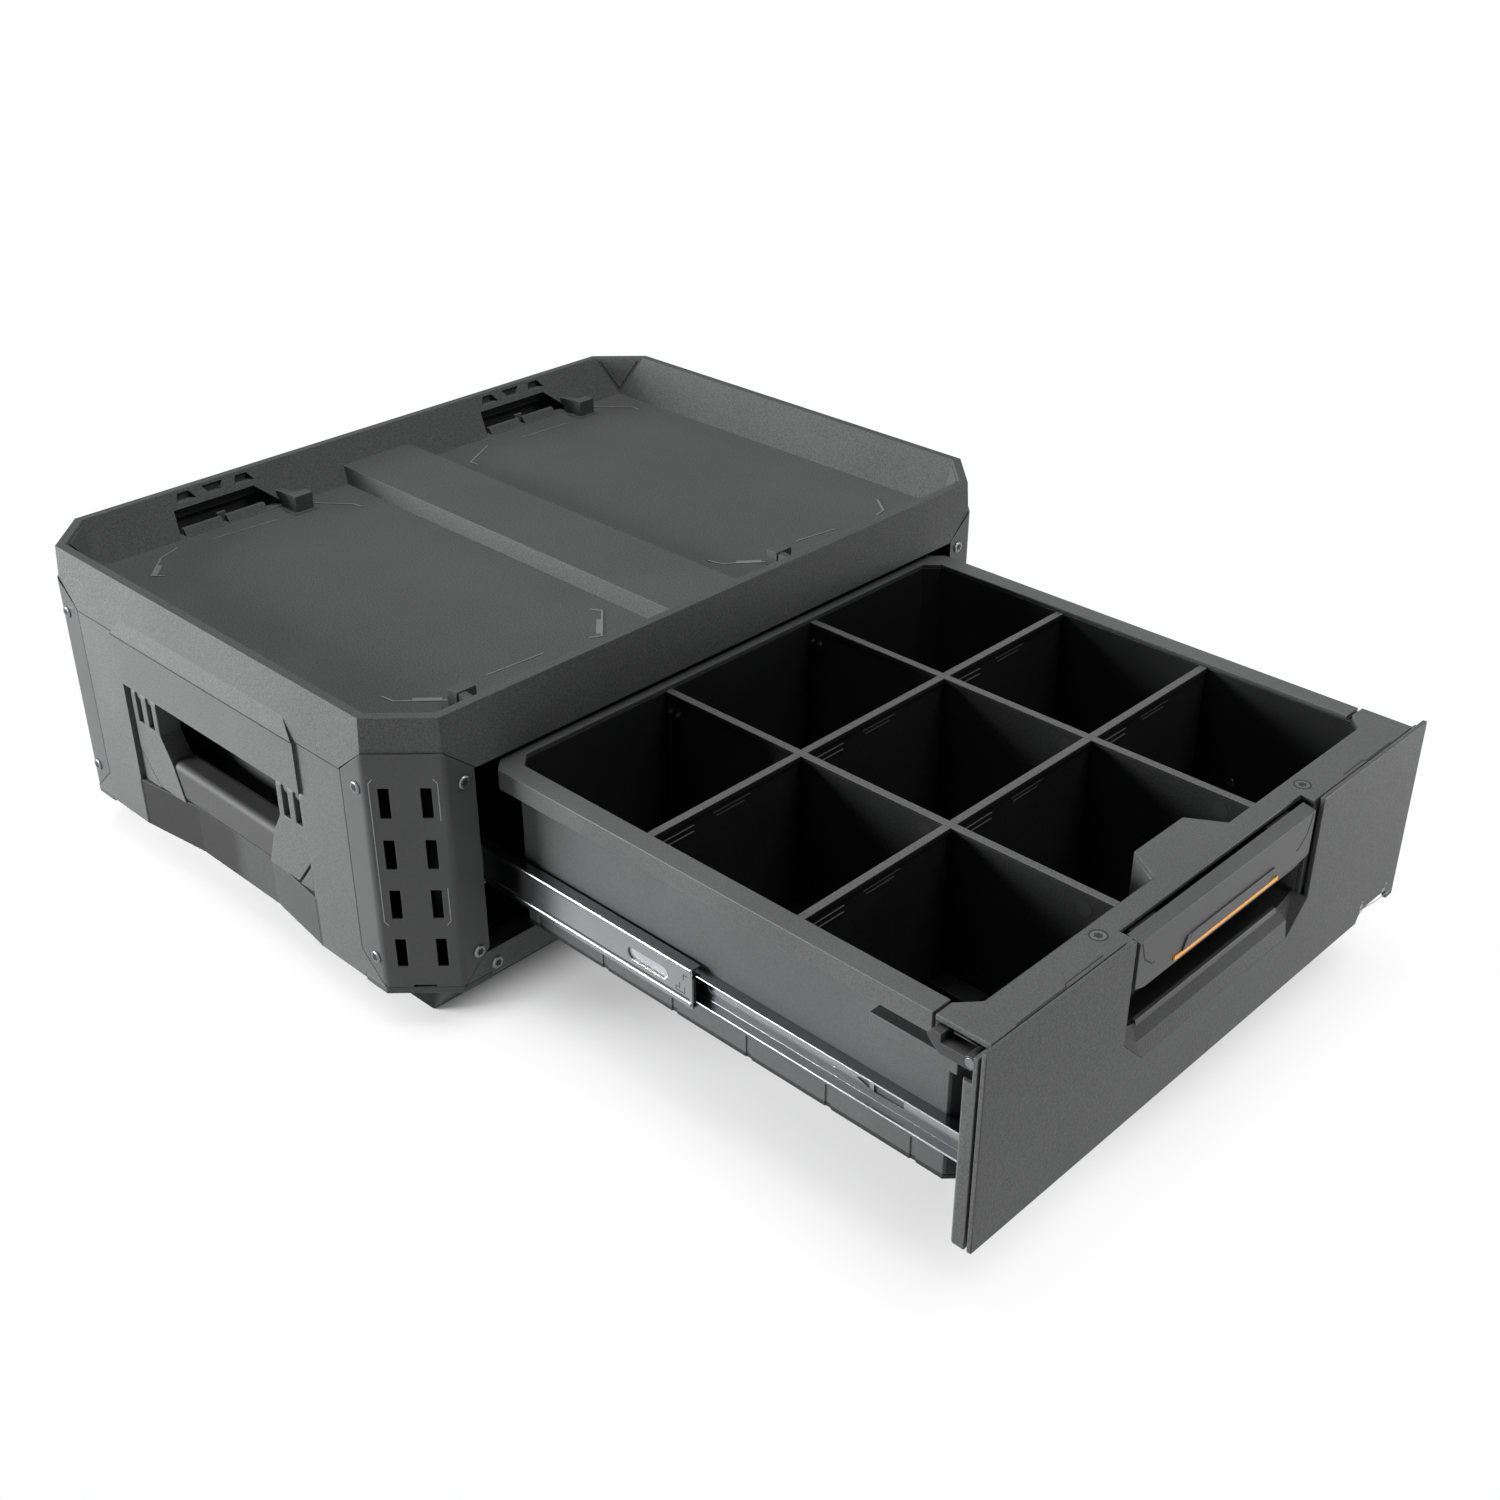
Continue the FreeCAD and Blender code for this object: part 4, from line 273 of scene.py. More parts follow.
def metal(name, color, rough, stretch=(2600.0, 9.0, 2600.0), bump=0.010, wear=0.3, spread=0.12):
    """Rolled or plated steel with drawn lines along Y, faint blotches and bright edges."""
    mat, nt = tree(name)
    bsdf = add(nt, "ShaderNodeBsdfPrincipled", in_Metallic=1.0)
    place = add(nt, "ShaderNodeTexCoord").outputs["Object"]
    mapping = add(nt, "ShaderNodeMapping", in_Scale=stretch)
    feed(nt, place, mapping.inputs["Vector"])
    drawn = noise(nt, mapping.outputs["Vector"], scale=1.0, detail=3.0, rough=0.6)
    tone = cloudy(nt, noise(nt, place, scale=34.0, detail=4.0, rough=0.6), color, spread)
    rubbed = calc(nt, "MULTIPLY", edge_mask(nt, METAL_EDGE), wear)
    base = mixed(nt, "MIX", rubbed, tone, tinted(color, 1.25, 0.08))
    rough_range = (max(0.04, rough - 0.06), min(1, rough + 0.08))
    shaded(nt, bsdf, base, drawn, rough_range, drawn, bump, METAL_DEPTH)
    return mat


# Linear colours and finishes, by the words used below
SHELL = (0.062, 0.062 * 1.01, 0.062 * 1.02)
MAT = {
    "shell": plastic("mat_shell", SHELL, 0.50, grain=1150, bump=0.16, wear=0.30),
    # Side panels: painted shade in the hollow under each handle
    "side": plastic("mat_side_painted_shade", SHELL, 0.50, grain=1150, bump=0.16, wear=0.30, hollow_shade=True),
    "cover": plastic("mat_cover", SHELL, 0.66, grain=1000, bump=0.20, wear=0.32, spec=0.18, deck_spec=0.02),
    "foot": plastic("mat_foot", (0.046, 0.047, 0.048), 0.55, grain=1150, bump=0.16, wear=0.35),
    "post": plastic("mat_post", (0.018, 0.018, 0.019), 0.50, grain=2600, bump=0.10, wear=0.20),
    "plate": plastic("mat_plate", (0.050, 0.0505, 0.0515), 0.38, grain=3400, bump=0.06, wear=0.45, spec=0.26),
    # Drawer tub: its inner faces get painted shade at a fifth of the tone
    "tub": plastic("mat_tub_inner_painted_shade", (0.060, 0.061, 0.062), 0.38, grain=2400, bump=0.09, wear=0.28, inner=0.2),
    # Drawer floor and dividers: the tub's plastic darkened as painted shade, with painted light on the
    # divider tops
    "inside": plastic("mat_inside_painted_shade", (0.014, 0.0142, 0.0145), 0.42, grain=900, bump=0.20, wear=0.30,
                      tops=0.062),
    "front": plastic("mat_front", (0.055, 0.0555, 0.056), 0.46, grain=1000, bump=0.22, wear=0.30),
    "cap": plastic("mat_cap", (0.060, 0.0605, 0.061), 0.44, grain=1300, bump=0.14, wear=0.30),
    # Paddle, lip and pull bucket: the front's plastic made lighter as painted light, standing in for the
    # reflected light that the tilted paddle misses
    "paddle": plastic("mat_paddle_painted_light", (0.068, 0.0685, 0.069), 0.42, grain=2500, bump=0.12, wear=0.32),
    "handle": plastic("mat_handle", (0.062, 0.0625, 0.063), 0.48, grain=1200, bump=0.15, wear=0.34),
    "rubber": plastic("mat_rubber", (0.020, 0.0202, 0.0205), 0.62, grain=3000, bump=0.18, wear=0.15,
                      spec=0.35),
    "hook": plastic("mat_hook", (0.030, 0.030, 0.031), 0.34, grain=3000, bump=0.06, wear=0.25),
    # Upper slope of the pull surround: a darker plastic as painted shade under the paddle
    "shelf": plastic("mat_shelf_painted_shade", (0.030, 0.030, 0.0305), 0.62, grain=1000, bump=0.24, wear=0.20, spec=0.15),
    "stop": plastic("mat_stop", (0.016, 0.016, 0.017), 0.36, grain=3000, bump=0.06, wear=0.20),
    # Dark: panel seams and ejector marks, and painted shade in screw drives, small steps, grooves and
    # engraved lines
    "dark": plastic("mat_dark_joint_and_shade", (0.012, 0.012, 0.012), 0.55, grain=3000, bump=0.08, wear=0.10),
    "accent": plastic("mat_accent", (1.0, 0.40, 0.035), 0.42, grain=2600, bump=0.05, wear=0.10, spread=0.05,
                      spec=0.25),
    "mark": plastic("mat_mark", (0.105, 0.106, 0.108), 0.42, grain=2600, bump=0.10, wear=0.25),
    "print": plastic("mat_print", (0.24, 0.24, 0.24), 0.50, grain=3200, bump=0.05, wear=0.05, spread=0.06),
    "zinc": metal("mat_zinc", (0.32, 0.325, 0.335), 0.20, bump=0.003, wear=0.10, spread=0.05),
    "strike": metal("mat_strike", (0.30, 0.305, 0.31), 0.28),
    "bolt": metal("mat_bolt", (0.20, 0.202, 0.206), 0.34, stretch=(500.0, 500.0, 500.0), wear=0.5),
    "capbolt": metal("mat_capbolt", (0.12, 0.121, 0.123), 0.34, stretch=(500.0, 500.0, 500.0), wear=0.5),
    "ball": metal("mat_ball", (0.80, 0.80, 0.81), 0.10, stretch=(400.0, 400.0, 400.0), bump=0.02),
    "cage": metal("mat_cage", (0.50, 0.51, 0.52), 0.32),
}

# Material and edge radius in millimetres of each CAD node
LOOKS = (
    ("cover", 0.3, "top_cover"),
    ("foot", 0.8, "base_pan"),
    ("shell", 0.6, "back_panel front_rail"),
    ("side", 0.3, "left_side_panel right_side_panel"),
    ("post", 0.3, "front_left_post front_right_post rear_left_post rear_right_post"),
    ("plate", 0.25, "front_left_plate front_right_plate rear_left_plate rear_right_plate"),
    ("bolt", 0.12, "cabinet_screws"),
    ("capbolt", 0.12, "cap_screws"),
    ("bolt", 0.1, "slide_wall_rivets handle_hinge_pins"),
    ("zinc", 0.1, "slide_tub_rivets"),
    ("post", 0.4, "left_slide_wall right_slide_wall"),
    ("strike", 0.2, "latch_strikes"),
    ("zinc", 0.25, "left_slide_outer right_slide_outer left_slide_middle right_slide_middle"),
    ("zinc", 0.18, "left_slide_inner right_slide_inner"),
    ("stop", 0.15, "left_slide_stop right_slide_stop"),
    ("cage", 0, "outer_ball_cages inner_ball_cages"),
    ("ball", 0, "outer_balls inner_balls"),
    ("handle", 0.6, "left_handle_frame right_handle_frame"),
    ("rubber", 0.6, "left_handle_grip right_handle_grip"),
    ("tub", 0.5, "drawer_tub"),
    ("inside", 0.4, "drawer_floor left_long_divider right_long_divider"),
    ("inside", 0.35, "cross_divider_rear_left cross_divider_rear_middle cross_divider_rear_right"),
    ("inside", 0.35, "cross_divider_front_left cross_divider_front_middle cross_divider_front_right"),
    ("cap", 0.6, "drawer_rim drawer_front_cap"),
    ("front", 0.6, "drawer_front_frame drawer_front_skin"),
    ("paddle", 0.5, "pull_bucket"),
    ("paddle", 0.3, "latch_paddle"),
    ("accent", 0.2, "paddle_accent_strip"),
    ("bolt", 0.2, "latch_shaft"),
    ("hook", 0.3, "left_latch_hook right_latch_hook"),
)
LOOK = {node: (key, width) for key, width, group in LOOKS for node in group.split()}


# Modifiers

def smooth_group(degrees):
    """Smooth shading that breaks at edges sharper than the angle."""
    group = bpy.data.node_groups.new("smooth_by_angle", "GeometryNodeTree")
    group.interface.new_socket("Geometry", in_out="INPUT", socket_type="NodeSocketGeometry")
    group.interface.new_socket("Geometry", in_out="OUTPUT", socket_type="NodeSocketGeometry")
    start = group.nodes.new("NodeGroupInput")
    end = group.nodes.new("NodeGroupOutput")
    angle = group.nodes.new("GeometryNodeInputMeshEdgeAngle")
    over = group.nodes.new("FunctionNodeCompare")
    over.data_type = "FLOAT"
    over.operation = "GREATER_THAN"
    over.inputs[1].default_value = math.radians(degrees)
    faces = group.nodes.new("GeometryNodeSetShadeSmooth")
    faces.domain = "FACE"
    faces.inputs["Shade Smooth"].default_value = True
    edges = group.nodes.new("GeometryNodeSetShadeSmooth")
    edges.domain = "EDGE"
    edges.inputs["Shade Smooth"].default_value = False
    group.links.new(angle.outputs["Unsigned Angle"], over.inputs[0])
    group.links.new(start.outputs[0], faces.inputs["Geometry"])
    group.links.new(faces.outputs["Geometry"], edges.inputs["Geometry"])
    group.links.new(over.outputs["Result"], edges.inputs["Selection"])
    group.links.new(edges.outputs["Geometry"], end.inputs[0])
    return group


SMOOTH = smooth_group(50)
CRISP = smooth_group(5)
WELD_DISTANCE = 0.00001
FLAT_ANGLE, ROUND_ANGLE = math.radians(0.6), math.radians(32)
ROUND_STEPS = 2


def round_edges(obj, width, cad=True, merge_flat=True):
    """Rounds the edges of a mesh; flat triangles are merged first where that is safe."""
    if cad:
        m = obj.modifiers.new("weld", "WELD")
        m.merge_threshold = WELD_DISTANCE
    if width:
        if cad and merge_flat:
            m = obj.modifiers.new("flat", "DECIMATE")
            m.decimate_type = "DISSOLVE"
            m.angle_limit = FLAT_ANGLE
        m = obj.modifiers.new("round", "BEVEL")
        m.width = width * MM
        m.segments = ROUND_STEPS
        m.limit_method = "ANGLE"
        m.angle_limit = ROUND_ANGLE
        m.use_clamp_overlap = False
        m.miter_outer = "MITER_ARC"
        obj.modifiers.new("triangles", "TRIANGULATE")
    m = obj.modifiers.new("smooth", "NODES")
    m.node_group = SMOOTH if merge_flat else CRISP
    m = obj.modifiers.new("shade", "WEIGHTED_NORMAL")
    m.keep_sharp = True
    m.weight = 100


# Nodes whose bevels need the triangles of the CAD mesh
KEEP_TRIANGLES = ("top_cover", "left_side_panel", "right_side_panel", "latch_paddle")

for name, obj in nodes.items():
    key, width = LOOK[name]
    obj.data.materials.clear()
    obj.data.materials.append(MAT[key])
    round_edges(obj, width, merge_flat=name not in KEEP_TRIANGLES)


# Mesh helpers

# How far a raised piece starts below the face that carries it, in millimetres
SINK = 0.05


def make(name, verts, faces, mat, body, bevel):
    """One piece from points in millimetres, riding on a body."""
    mesh = bpy.data.meshes.new(name)
    mesh.from_pydata([Vector(v) * MM for v in verts], [], faces)
    bm = bmesh.new()
    bm.from_mesh(mesh)
    bmesh.ops.recalc_face_normals(bm, faces=bm.faces)
    bm.to_mesh(mesh)
    bm.free()
    mesh.materials.append(MAT[mat])
    obj = bpy.data.objects.new(name, mesh)
    scene.collection.objects.link(obj)
    round_edges(obj, bevel, cad=False)
    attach(obj, body)


class Parts:
    """Collects loose closed solids into one mesh."""

    def __init__(self):
        self.verts, self.faces = [], []

    def put(self, verts, faces):
        """Adds one solid."""
        base = len(self.verts)
        self.verts += [tuple(v) for v in verts]
        self.faces += [[i + base for i in f] for f in faces]

    def slab(self, outline, push):
        """Closed prism from a 3D outline swept by push."""
        n = len(outline)
        push = Vector(push)
        low = [Vector(p) for p in outline]
        high = [p + push for p in low]
        faces = [list(range(n))[::-1], list(range(n, 2 * n))]
        faces += [[i, (i + 1) % n, n + (i + 1) % n, n + i] for i in range(n)]
        self.put(low + high, faces)

    def stroke(self, points, width, normal, rise):
        """Mitred ribbon along a polyline on a plane, raised along the normal."""
        normal = Vector(normal).normalized()
        pts = [Vector(p) for p in points]
        left, right = [], []
        for i, p in enumerate(pts):
            a = (p - pts[i - 1]).normalized() if i else None
            b = (pts[i + 1] - p).normalized() if i < len(pts) - 1 else None
            along = (a + b).normalized() if a and b else (a or b)
            side = normal.cross(along).normalized()
            scale = 1.0
            if a and b:
                scale = 1.0 / max(0.4, side.dot(normal.cross(a).normalized()))
            left.append(p + side * width / 2 * scale)
            right.append(p - side * width / 2 * scale)
        n = len(pts)
        low = [v - normal * SINK for v in left + right]
        high = [v + normal * rise for v in left + right]
        faces = []
        for i in range(n - 1):
            faces.append([2 * n + i, 2 * n + i + 1, 3 * n + i + 1, 3 * n + i])
            faces.append([i, n + i, n + i + 1, i + 1])
            faces.append([i, i + 1, 2 * n + i + 1, 2 * n + i])
            faces.append([n + i, 3 * n + i, 3 * n + i + 1, n + i + 1])
        faces.append([0, 2 * n, 3 * n, n])
        faces.append([n - 1, 2 * n - 1, 4 * n - 1, 3 * n - 1])
        self.put(low + high, faces)

    def disc(self, centre, normal, radius, rise, sides, lobes=0, depth=0.0, dish=0.0):
        """Round or lobed disc, whose top may be dished."""
        normal = Vector(normal).normalized()
        helper = Vector((0, 0, 1)) if abs(normal.z) < 0.9 else Vector((1, 0, 0))
        u = normal.cross(helper).normalized()
        v = normal.cross(u)
        ring = []
        for i in range(sides):
            a = 2 * math.pi * i / sides
            r = radius * (1 - depth * (0.5 - 0.5 * math.cos(lobes * a))) if lobes else radius
            ring.append(Vector(centre) + u * math.cos(a) * r + v * math.sin(a) * r)
        low = [p - normal * SINK for p in ring]
        high = [p + normal * rise for p in ring]
        top = Vector(centre) + normal * (rise - dish)
        n = sides
        faces = [list(range(n))[::-1]]
        faces += [[i, (i + 1) % n, n + (i + 1) % n, n + i] for i in range(n)]
        faces += [[n + i, n + (i + 1) % n, 2 * n] for i in range(n)]
        self.put(low + high + [top], faces)

    def block(self, x0, x1, y0, y1, z0, z1, t):
        """Box whose top is drawn in by t on all sides."""
        verts = [(x0, y0, z0), (x1, y0, z0), (x1, y1, z0), (x0, y1, z0),
                 (x0 + t, y0 + t, z1), (x1 - t, y0 + t, z1),
                 (x1 - t, y1 - t, z1), (x0 + t, y1 - t, z1)]
        faces = [[3, 2, 1, 0], [4, 5, 6, 7], [0, 1, 5, 4], [1, 2, 6, 5], [2, 3, 7, 6], [3, 0, 4, 7]]
        self.put(verts, faces)

    def done(self, name, mat, body, bevel):
        """Makes the collected solids into one piece."""
        make(name, self.verts, self.faces, mat, body, bevel)


# Raised lines on the stacking deck, as (x, y)
DECK_MARKS = [
    [(-187, 165), (-204, 158), (-224, 137), (-218, 130)],
    [(-75, 165), (-54, 140), (-52.5, 132)],
    [(-51, -118), (-47, -125), (-72, -152), (-79, -148)],
    [(-218.5, -116), (-217, -126), (-194, -148)],
    [(90, 161), (58, 143), (59, 135)],
    [(204, 169), (230, 144), (229, 134)],
    [(57, -120), (59.5, -130), (83, -150)],
    [(221, -134), (209, -150), (199, -152)],
]
DECK_LINES = [
    [(-161, 160.6), (-110, 157)], [(-157, -140), (-113, -143)],
    [(120, 155.5), (167, 153.6)], [(124, -141), (159, -147)],
]
# Middle of each half of the deck, and the length from which a mark has a pad beside it
PANEL_X = 137.0
LONG_MARK = 14.0

marks = Parts()
for row in DECK_MARKS:
    points = [Vector((x, y, DECK_Z)) for x, y in row]
    marks.stroke(points, width=1.3, normal=UP, rise=0.5)
    a, b = points[1], points[2]
    if (b - a).length > LONG_MARK:
        to_middle = Vector((math.copysign(PANEL_X, a.x) - (a.x + b.x) / 2, -a.y - b.y, 0))
        shift = to_middle.normalized() * 2.2
        marks.stroke([a.lerp(b, 0.38) + shift, a.lerp(b, 0.94) + shift], width=3.4, normal=UP, rise=0.35)
for row in DECK_LINES:
    marks.stroke([(x, y, DECK_Z) for x, y in row], width=0.9, normal=UP, rise=0.35)
marks.done("deck_marks", "mark", "cabinet", bevel=0.12)

# Triangular pads in the four corners of the tray
PAD = ((237.3, 196, TOP_Z), (266, 167.3, TOP_Z), (245, 175, DECK_Z))
PAD_INSET, PAD_SINK, PAD_DEPTH = 0.24, 0.1, 0.8

pads = Parts()
for sx, sy in CORNERS:
    corner = [Vector((sx * x, sy * y, z)) for x, y, z in PAD]
    middle = (corner[0] + corner[1] + corner[2]) / 3
    normal = (corner[1] - corner[0]).cross(corner[2] - corner[0]).normalized()
    if normal.dot(Vector((-sx, -sy, 1))) < 0:
        normal.negate()
    pads.slab([p.lerp(middle, PAD_INSET) - normal * PAD_SINK for p in corner], normal * PAD_DEPTH)
pads.done("tray_corner_pads", "cover", "cabinet", bevel=0.25)

# Slats that stand in each catch pocket, with the gap for the catch tooth, as (y, z) sections
POCKET_LEFTS = (-177.0, 102.0)
SLAT = [(175.8, 192.9), (179.2, 192.9), (182.2, 197.6), (179.3, 197.6)]
SLAT_SPANS = ((4.5, 35.5), (39.5, 72.0))
TOOTH = [(180.6, 193), (183.9, 193), (183.9, 200), (181.8, 200)]
TOOTH_X, TOOTH_WIDTH = 34.0, 7.0

slats = Parts()
for left in POCKET_LEFTS:
    for start, end in SLAT_SPANS:
        slats.slab([(left + start, y, z) for y, z in SLAT], (end - start, 0, 0))
    slats.slab([(left + TOOTH_X, y, z) for y, z in TOOTH], (TOOTH_WIDTH, 0, 0))
slats.done("catch_slats", "cover", "cabinet", bevel=0.3)

# Webs and foot flanges that brace the stacking lugs
LUGS = ((-86, 160), (191, 160), (86, -160), (-191, -160))
LUG_HALF, LUG_Z = 4.4, 204.0
WEB_LEFT, WEB_WIDTH, WEB_Z = -6.5, 6.0, 202.5
FLANGE_X, FLANGE_Y = 11.0, 7.5
WALL_FOOT_Y, WALL_SLOPE, WALL_BITE = 175.0, 0.75, 0.4


def wall_y(side, z):
    """A place just inside the sloped wall of the tray, at a height."""
    return side * (WALL_FOOT_Y + WALL_SLOPE * (z - DECK_Z) + WALL_BITE)


webs = Parts()
for x, y in LUGS:
    side = math.copysign(1, y)
    lug_y = y + side * LUG_HALF
    section = [(lug_y, DECK_Z), (wall_y(side, DECK_Z), DECK_Z), (wall_y(side, WEB_Z), WEB_Z), (lug_y, LUG_Z)]
    webs.slab([(x + WEB_LEFT, web_y, web_z) for web_y, web_z in section], (WEB_WIDTH, 0, 0))
    webs.block(x - FLANGE_X, x + FLANGE_X, y - FLANGE_Y, y + FLANGE_Y, DECK_Z - 0.1, DECK_Z + 1.0, t=0.6)
webs.done("lug_webs", "cover", "cabinet", bevel=0.35)

# Lines on the slotted corner plates, as (place along the plate, z)
NEAR, FAR, JOG = -20.3, 19.3, 2.4
PLATE_X, PLATE_Y = 258.0, -188.0
PLATE_LINES = (
    [(NEAR + JOG, 181.5), (NEAR, 178.5), (NEAR, 82), (NEAR + JOG, 79)],
    [(FAR - JOG, 181.5), (FAR, 178.5), (FAR, 153)],
    [(FAR, 106), (FAR, 82), (FAR - JOG, 79)],
)

plate_lines = Parts()
for sx in (-1, 1):
    along = Vector((-sx, -1, 0)).normalized()
    normal = Vector((sx, -1, 0)).normalized()
    start = Vector((sx * PLATE_X, PLATE_Y, 0)) + normal * 0.02
    for line in PLATE_LINES:
        points = [start + along * t + Vector((0, 0, z)) for t, z in line]
        plate_lines.stroke(points, width=0.5, normal=normal, rise=0.12)
plate_lines.done("plate_lines", "print", "cabinet", bevel=0.0)

# Six-lobed drive recesses, thin dark discs on the tops of the screw heads as painted shade of the hollow
# drives; each cap screw also gets a dark ring as painted shade of the recess round its head
SCREW_ROWS = (53.0, 173.7)
SIDE_SCREW_Y, FRONT_SCREW_X = 164.5, 228.2
SCREW_TOP_X, SCREW_TOP_Y = reach("cabinet_screws", HIGH, X), reach("cabinet_screws", HIGH, Y)
FOOT_SCREW_X, FOOT_SCREW_Z = 215.5, 38.0
CAP_SCREW_X, CAP_SCREW_Y = 101.5, -557.0
RING_RADIUS, RING_STEPS = 4.75, 32


def star(parts, centre, normal):
    """The drive of one screw."""
    parts.disc(centre, normal, radius=2.7, rise=0.06, sides=36, lobes=6, depth=0.34)


stars = Parts()
for z in SCREW_ROWS:
    for sx, sy in CORNERS:
        star(stars, (sx * SCREW_TOP_X, sy * SIDE_SCREW_Y, z), (sx, 0, 0))
        star(stars, (sx * FRONT_SCREW_X, sy * SCREW_TOP_Y, z), (0, sy, 0))
cap_stars = Parts()
for sx in (-1, 1):
    star(stars, (sx * FOOT_SCREW_X, -SCREW_TOP_Y, FOOT_SCREW_Z), FACE)
    centre = Vector((sx * CAP_SCREW_X, CAP_SCREW_Y, CAP_Z))
    star(cap_stars, centre, UP)
    angles = [2 * math.pi * i / RING_STEPS for i in range(RING_STEPS + 1)]
    ring = [centre + Vector((math.cos(a), math.sin(a), 0)) * RING_RADIUS for a in angles]
    # Dark ring: painted shade of the recess round the cap screw head
    cap_stars.stroke(ring, width=1.0, normal=UP, rise=0.06)
stars.done("screw_drives", "dark", "cabinet", bevel=0.0)
cap_stars.done("cap_screw_drives", "dark", "drawer", bevel=0.0)

# Ejector marks, clips and ledges inside the drawer
DIVIDER_FACES = (reach("cross_divider_front_left", HIGH, X), reach("cross_divider_front_middle", HIGH, X))
EJECTOR_Y, EJECTOR_Z = (-527.0, -419.0, -306.0), 161.5
CLIP_Y = (-216.0, -215.0)
CLIP = [(0, 161), (-2.6, 159.6), (-2.6, 156.4), (0, 152.5)]
CLIP_FOOT = [(0, 154), (-1.0, 154), (-1.0, 152.6), (0, 152.0)]
LEDGE = [(-478, 0), (-439, 0), (-439, 7), (-470, 7)]
LEDGE_LEFTS, LEDGE_WIDTH = (-84.0, 69.4), 14.6

ejectors = Parts()
for face in DIVIDER_FACES:
    for y in EJECTOR_Y:
        ejectors.disc((face, y, EJECTOR_Z), (-1, 0, 0), radius=5.0, rise=0.18, sides=28, dish=0.1)
ejectors.done("ejector_marks", "dark", "drawer", bevel=0.0)

clips = Parts()
for face, y in zip(DIVIDER_FACES, CLIP_Y):
    for start in (y - 5.0, y + 2.0):
        clips.slab([(face + x, start, z) for x, z in CLIP], (0, 3.2, 0))
    clips.slab([(face + x, y - 5.0, z) for x, z in CLIP_FOOT], (0, 10.2, 0))
clips.done("divider_clips", "tub", "drawer", bevel=0.25)

ledges = Parts()
for left in LEDGE_LEFTS:
    ledges.slab([(left, y, TUB_FLOOR + z) for y, z in LEDGE], (LEDGE_WIDTH, 0, 0))
for z in (92.0, 101.0):
    ledges.block(100.0, 150.0, -549.8, -545.0, z, z + 3.0, t=0.5)
ledges.done("cell_ledges", "tub", "drawer", bevel=0.4)

# Lines and symbols of the drawer front
# Dark lines on the cap, painted shadow of its small steps, as (x, y)
CAP_STEP_SHADOWS = (
    [(-188, -570.2), (-148, -570.2), (-146, -568.4), (-114, -568.4)],
    [(128, -568.6), (150, -568.6), (152, -570.2), (181, -570.2)],
)
LOCK_LINE = [(171.5, 56.5), (177, 59.5), (197, 56.2), (212, 55.4)]
# Middle x and z of each lock symbol, how far its shackle is aside, and where the shackle ends
LOCKS = ((174.0, 62.6, 0.0, 1.2), (203.0, 61.0, 2.6, 1.8))
PADDLE_LINE = [(-86, 171), (-82, 159), (-74, 152.3), (-71.6, 152.4)]
PADDLE_LIP = [(-39, 149.6), (49, 149.6), (47.5, 153.2), (-37.5, 153.2)]


def upright(points, y):
    """Points in an upright plane, from x and z."""
    return [(x, y, z) for x, z in points]


cap_step_shadows = Parts()
for line in CAP_STEP_SHADOWS:
    cap_step_shadows.stroke([(x, y, CAP_Z) for x, y in line], width=0.7, normal=UP, rise=0.12)
cap_step_shadows.done("cap_step_shadow_lines", "dark", "drawer", bevel=0.0)

lock_marks = Parts()
lock_marks.stroke(upright(LOCK_LINE, FRONT_Y), width=0.7, normal=FACE, rise=0.1)
for x, z, aside, tail in LOCKS:
    case = [(x - 2.0, z - 1.7), (x + 2.0, z - 1.7), (x + 2.0, z + 1.2), (x - 2.0, z + 1.2)]
    lock_marks.slab(upright(case, FRONT_Y), (0, -0.1, 0))
    arch = [(-1.3, 1.2), (-1.3, 2.7), (-0.6, 3.5), (0.6, 3.5), (1.3, 2.7), (1.3, tail)]
    shackle = [(x + aside + across, z + height) for across, height in arch]
    lock_marks.stroke(upright(shackle, FRONT_Y), width=0.55, normal=FACE, rise=0.1)
lock_marks.done("lock_marks", "print", "drawer", bevel=0.0)

# Dark strokes on the paddle: painted shade of its engraved corner lines
paddle_groove_shade = Parts()
for sx in (-1, 1):
    paddle_groove_shade.stroke([(sx * x, PADDLE_Y, z) for x, z in PADDLE_LINE],
                        width=0.9, normal=FACE, rise=0.12)
paddle_groove_shade.done("paddle_groove_shade", "dark", "latch", bevel=0.0)

lip = Parts()
lip.slab(upright(PADDLE_LIP, PADDLE_Y + 0.3), (0, -1.5, 0))
lip.done("paddle_lip", "paddle", "latch", bevel=0.5)

# Bosses in the handle recess, and fillets beside the slanted shoulders of the handle
RECESS_Y = 102.9
FILLET = [(RECESS_Y, 92.2), (RECESS_Y, 66.1), (82.3, 66.1)]
FILLET_X, FILLET_DEPTH = 257.0, 14.5

bosses = Parts()
fillets = Parts()
for sx, sy in CORNERS:
    inward = (0, -sy, 0)
    bosses.disc((sx * 248.5, sy * RECESS_Y, 107), inward, radius=5.2, rise=1.4, sides=28, dish=0.9)
    bosses.disc((sx * 237.5, sy * RECESS_Y, 73), inward, radius=1.8, rise=1.0, sides=18, dish=-0.3)
    fillets.slab([(sx * FILLET_X, sy * y, z) for y, z in FILLET], (sx * FILLET_DEPTH, 0, 0))
bosses.done("recess_bosses", "shell", "cabinet", bevel=0.2)
fillets.done("recess_corners", "shell", "cabinet", bevel=0.4)

# Seams round the cabinet panels, as (y, z) lines
EAVE_X, EAVE_Y = reach("top_cover", HIGH, X), 103.5
SIDE_SEAMS = (
    [(104.6, COVER_Z), (150.0, COVER_Z)],
    [(149.7, 179.0), (149.7, 52.0), (170.6, 33.2)],
)

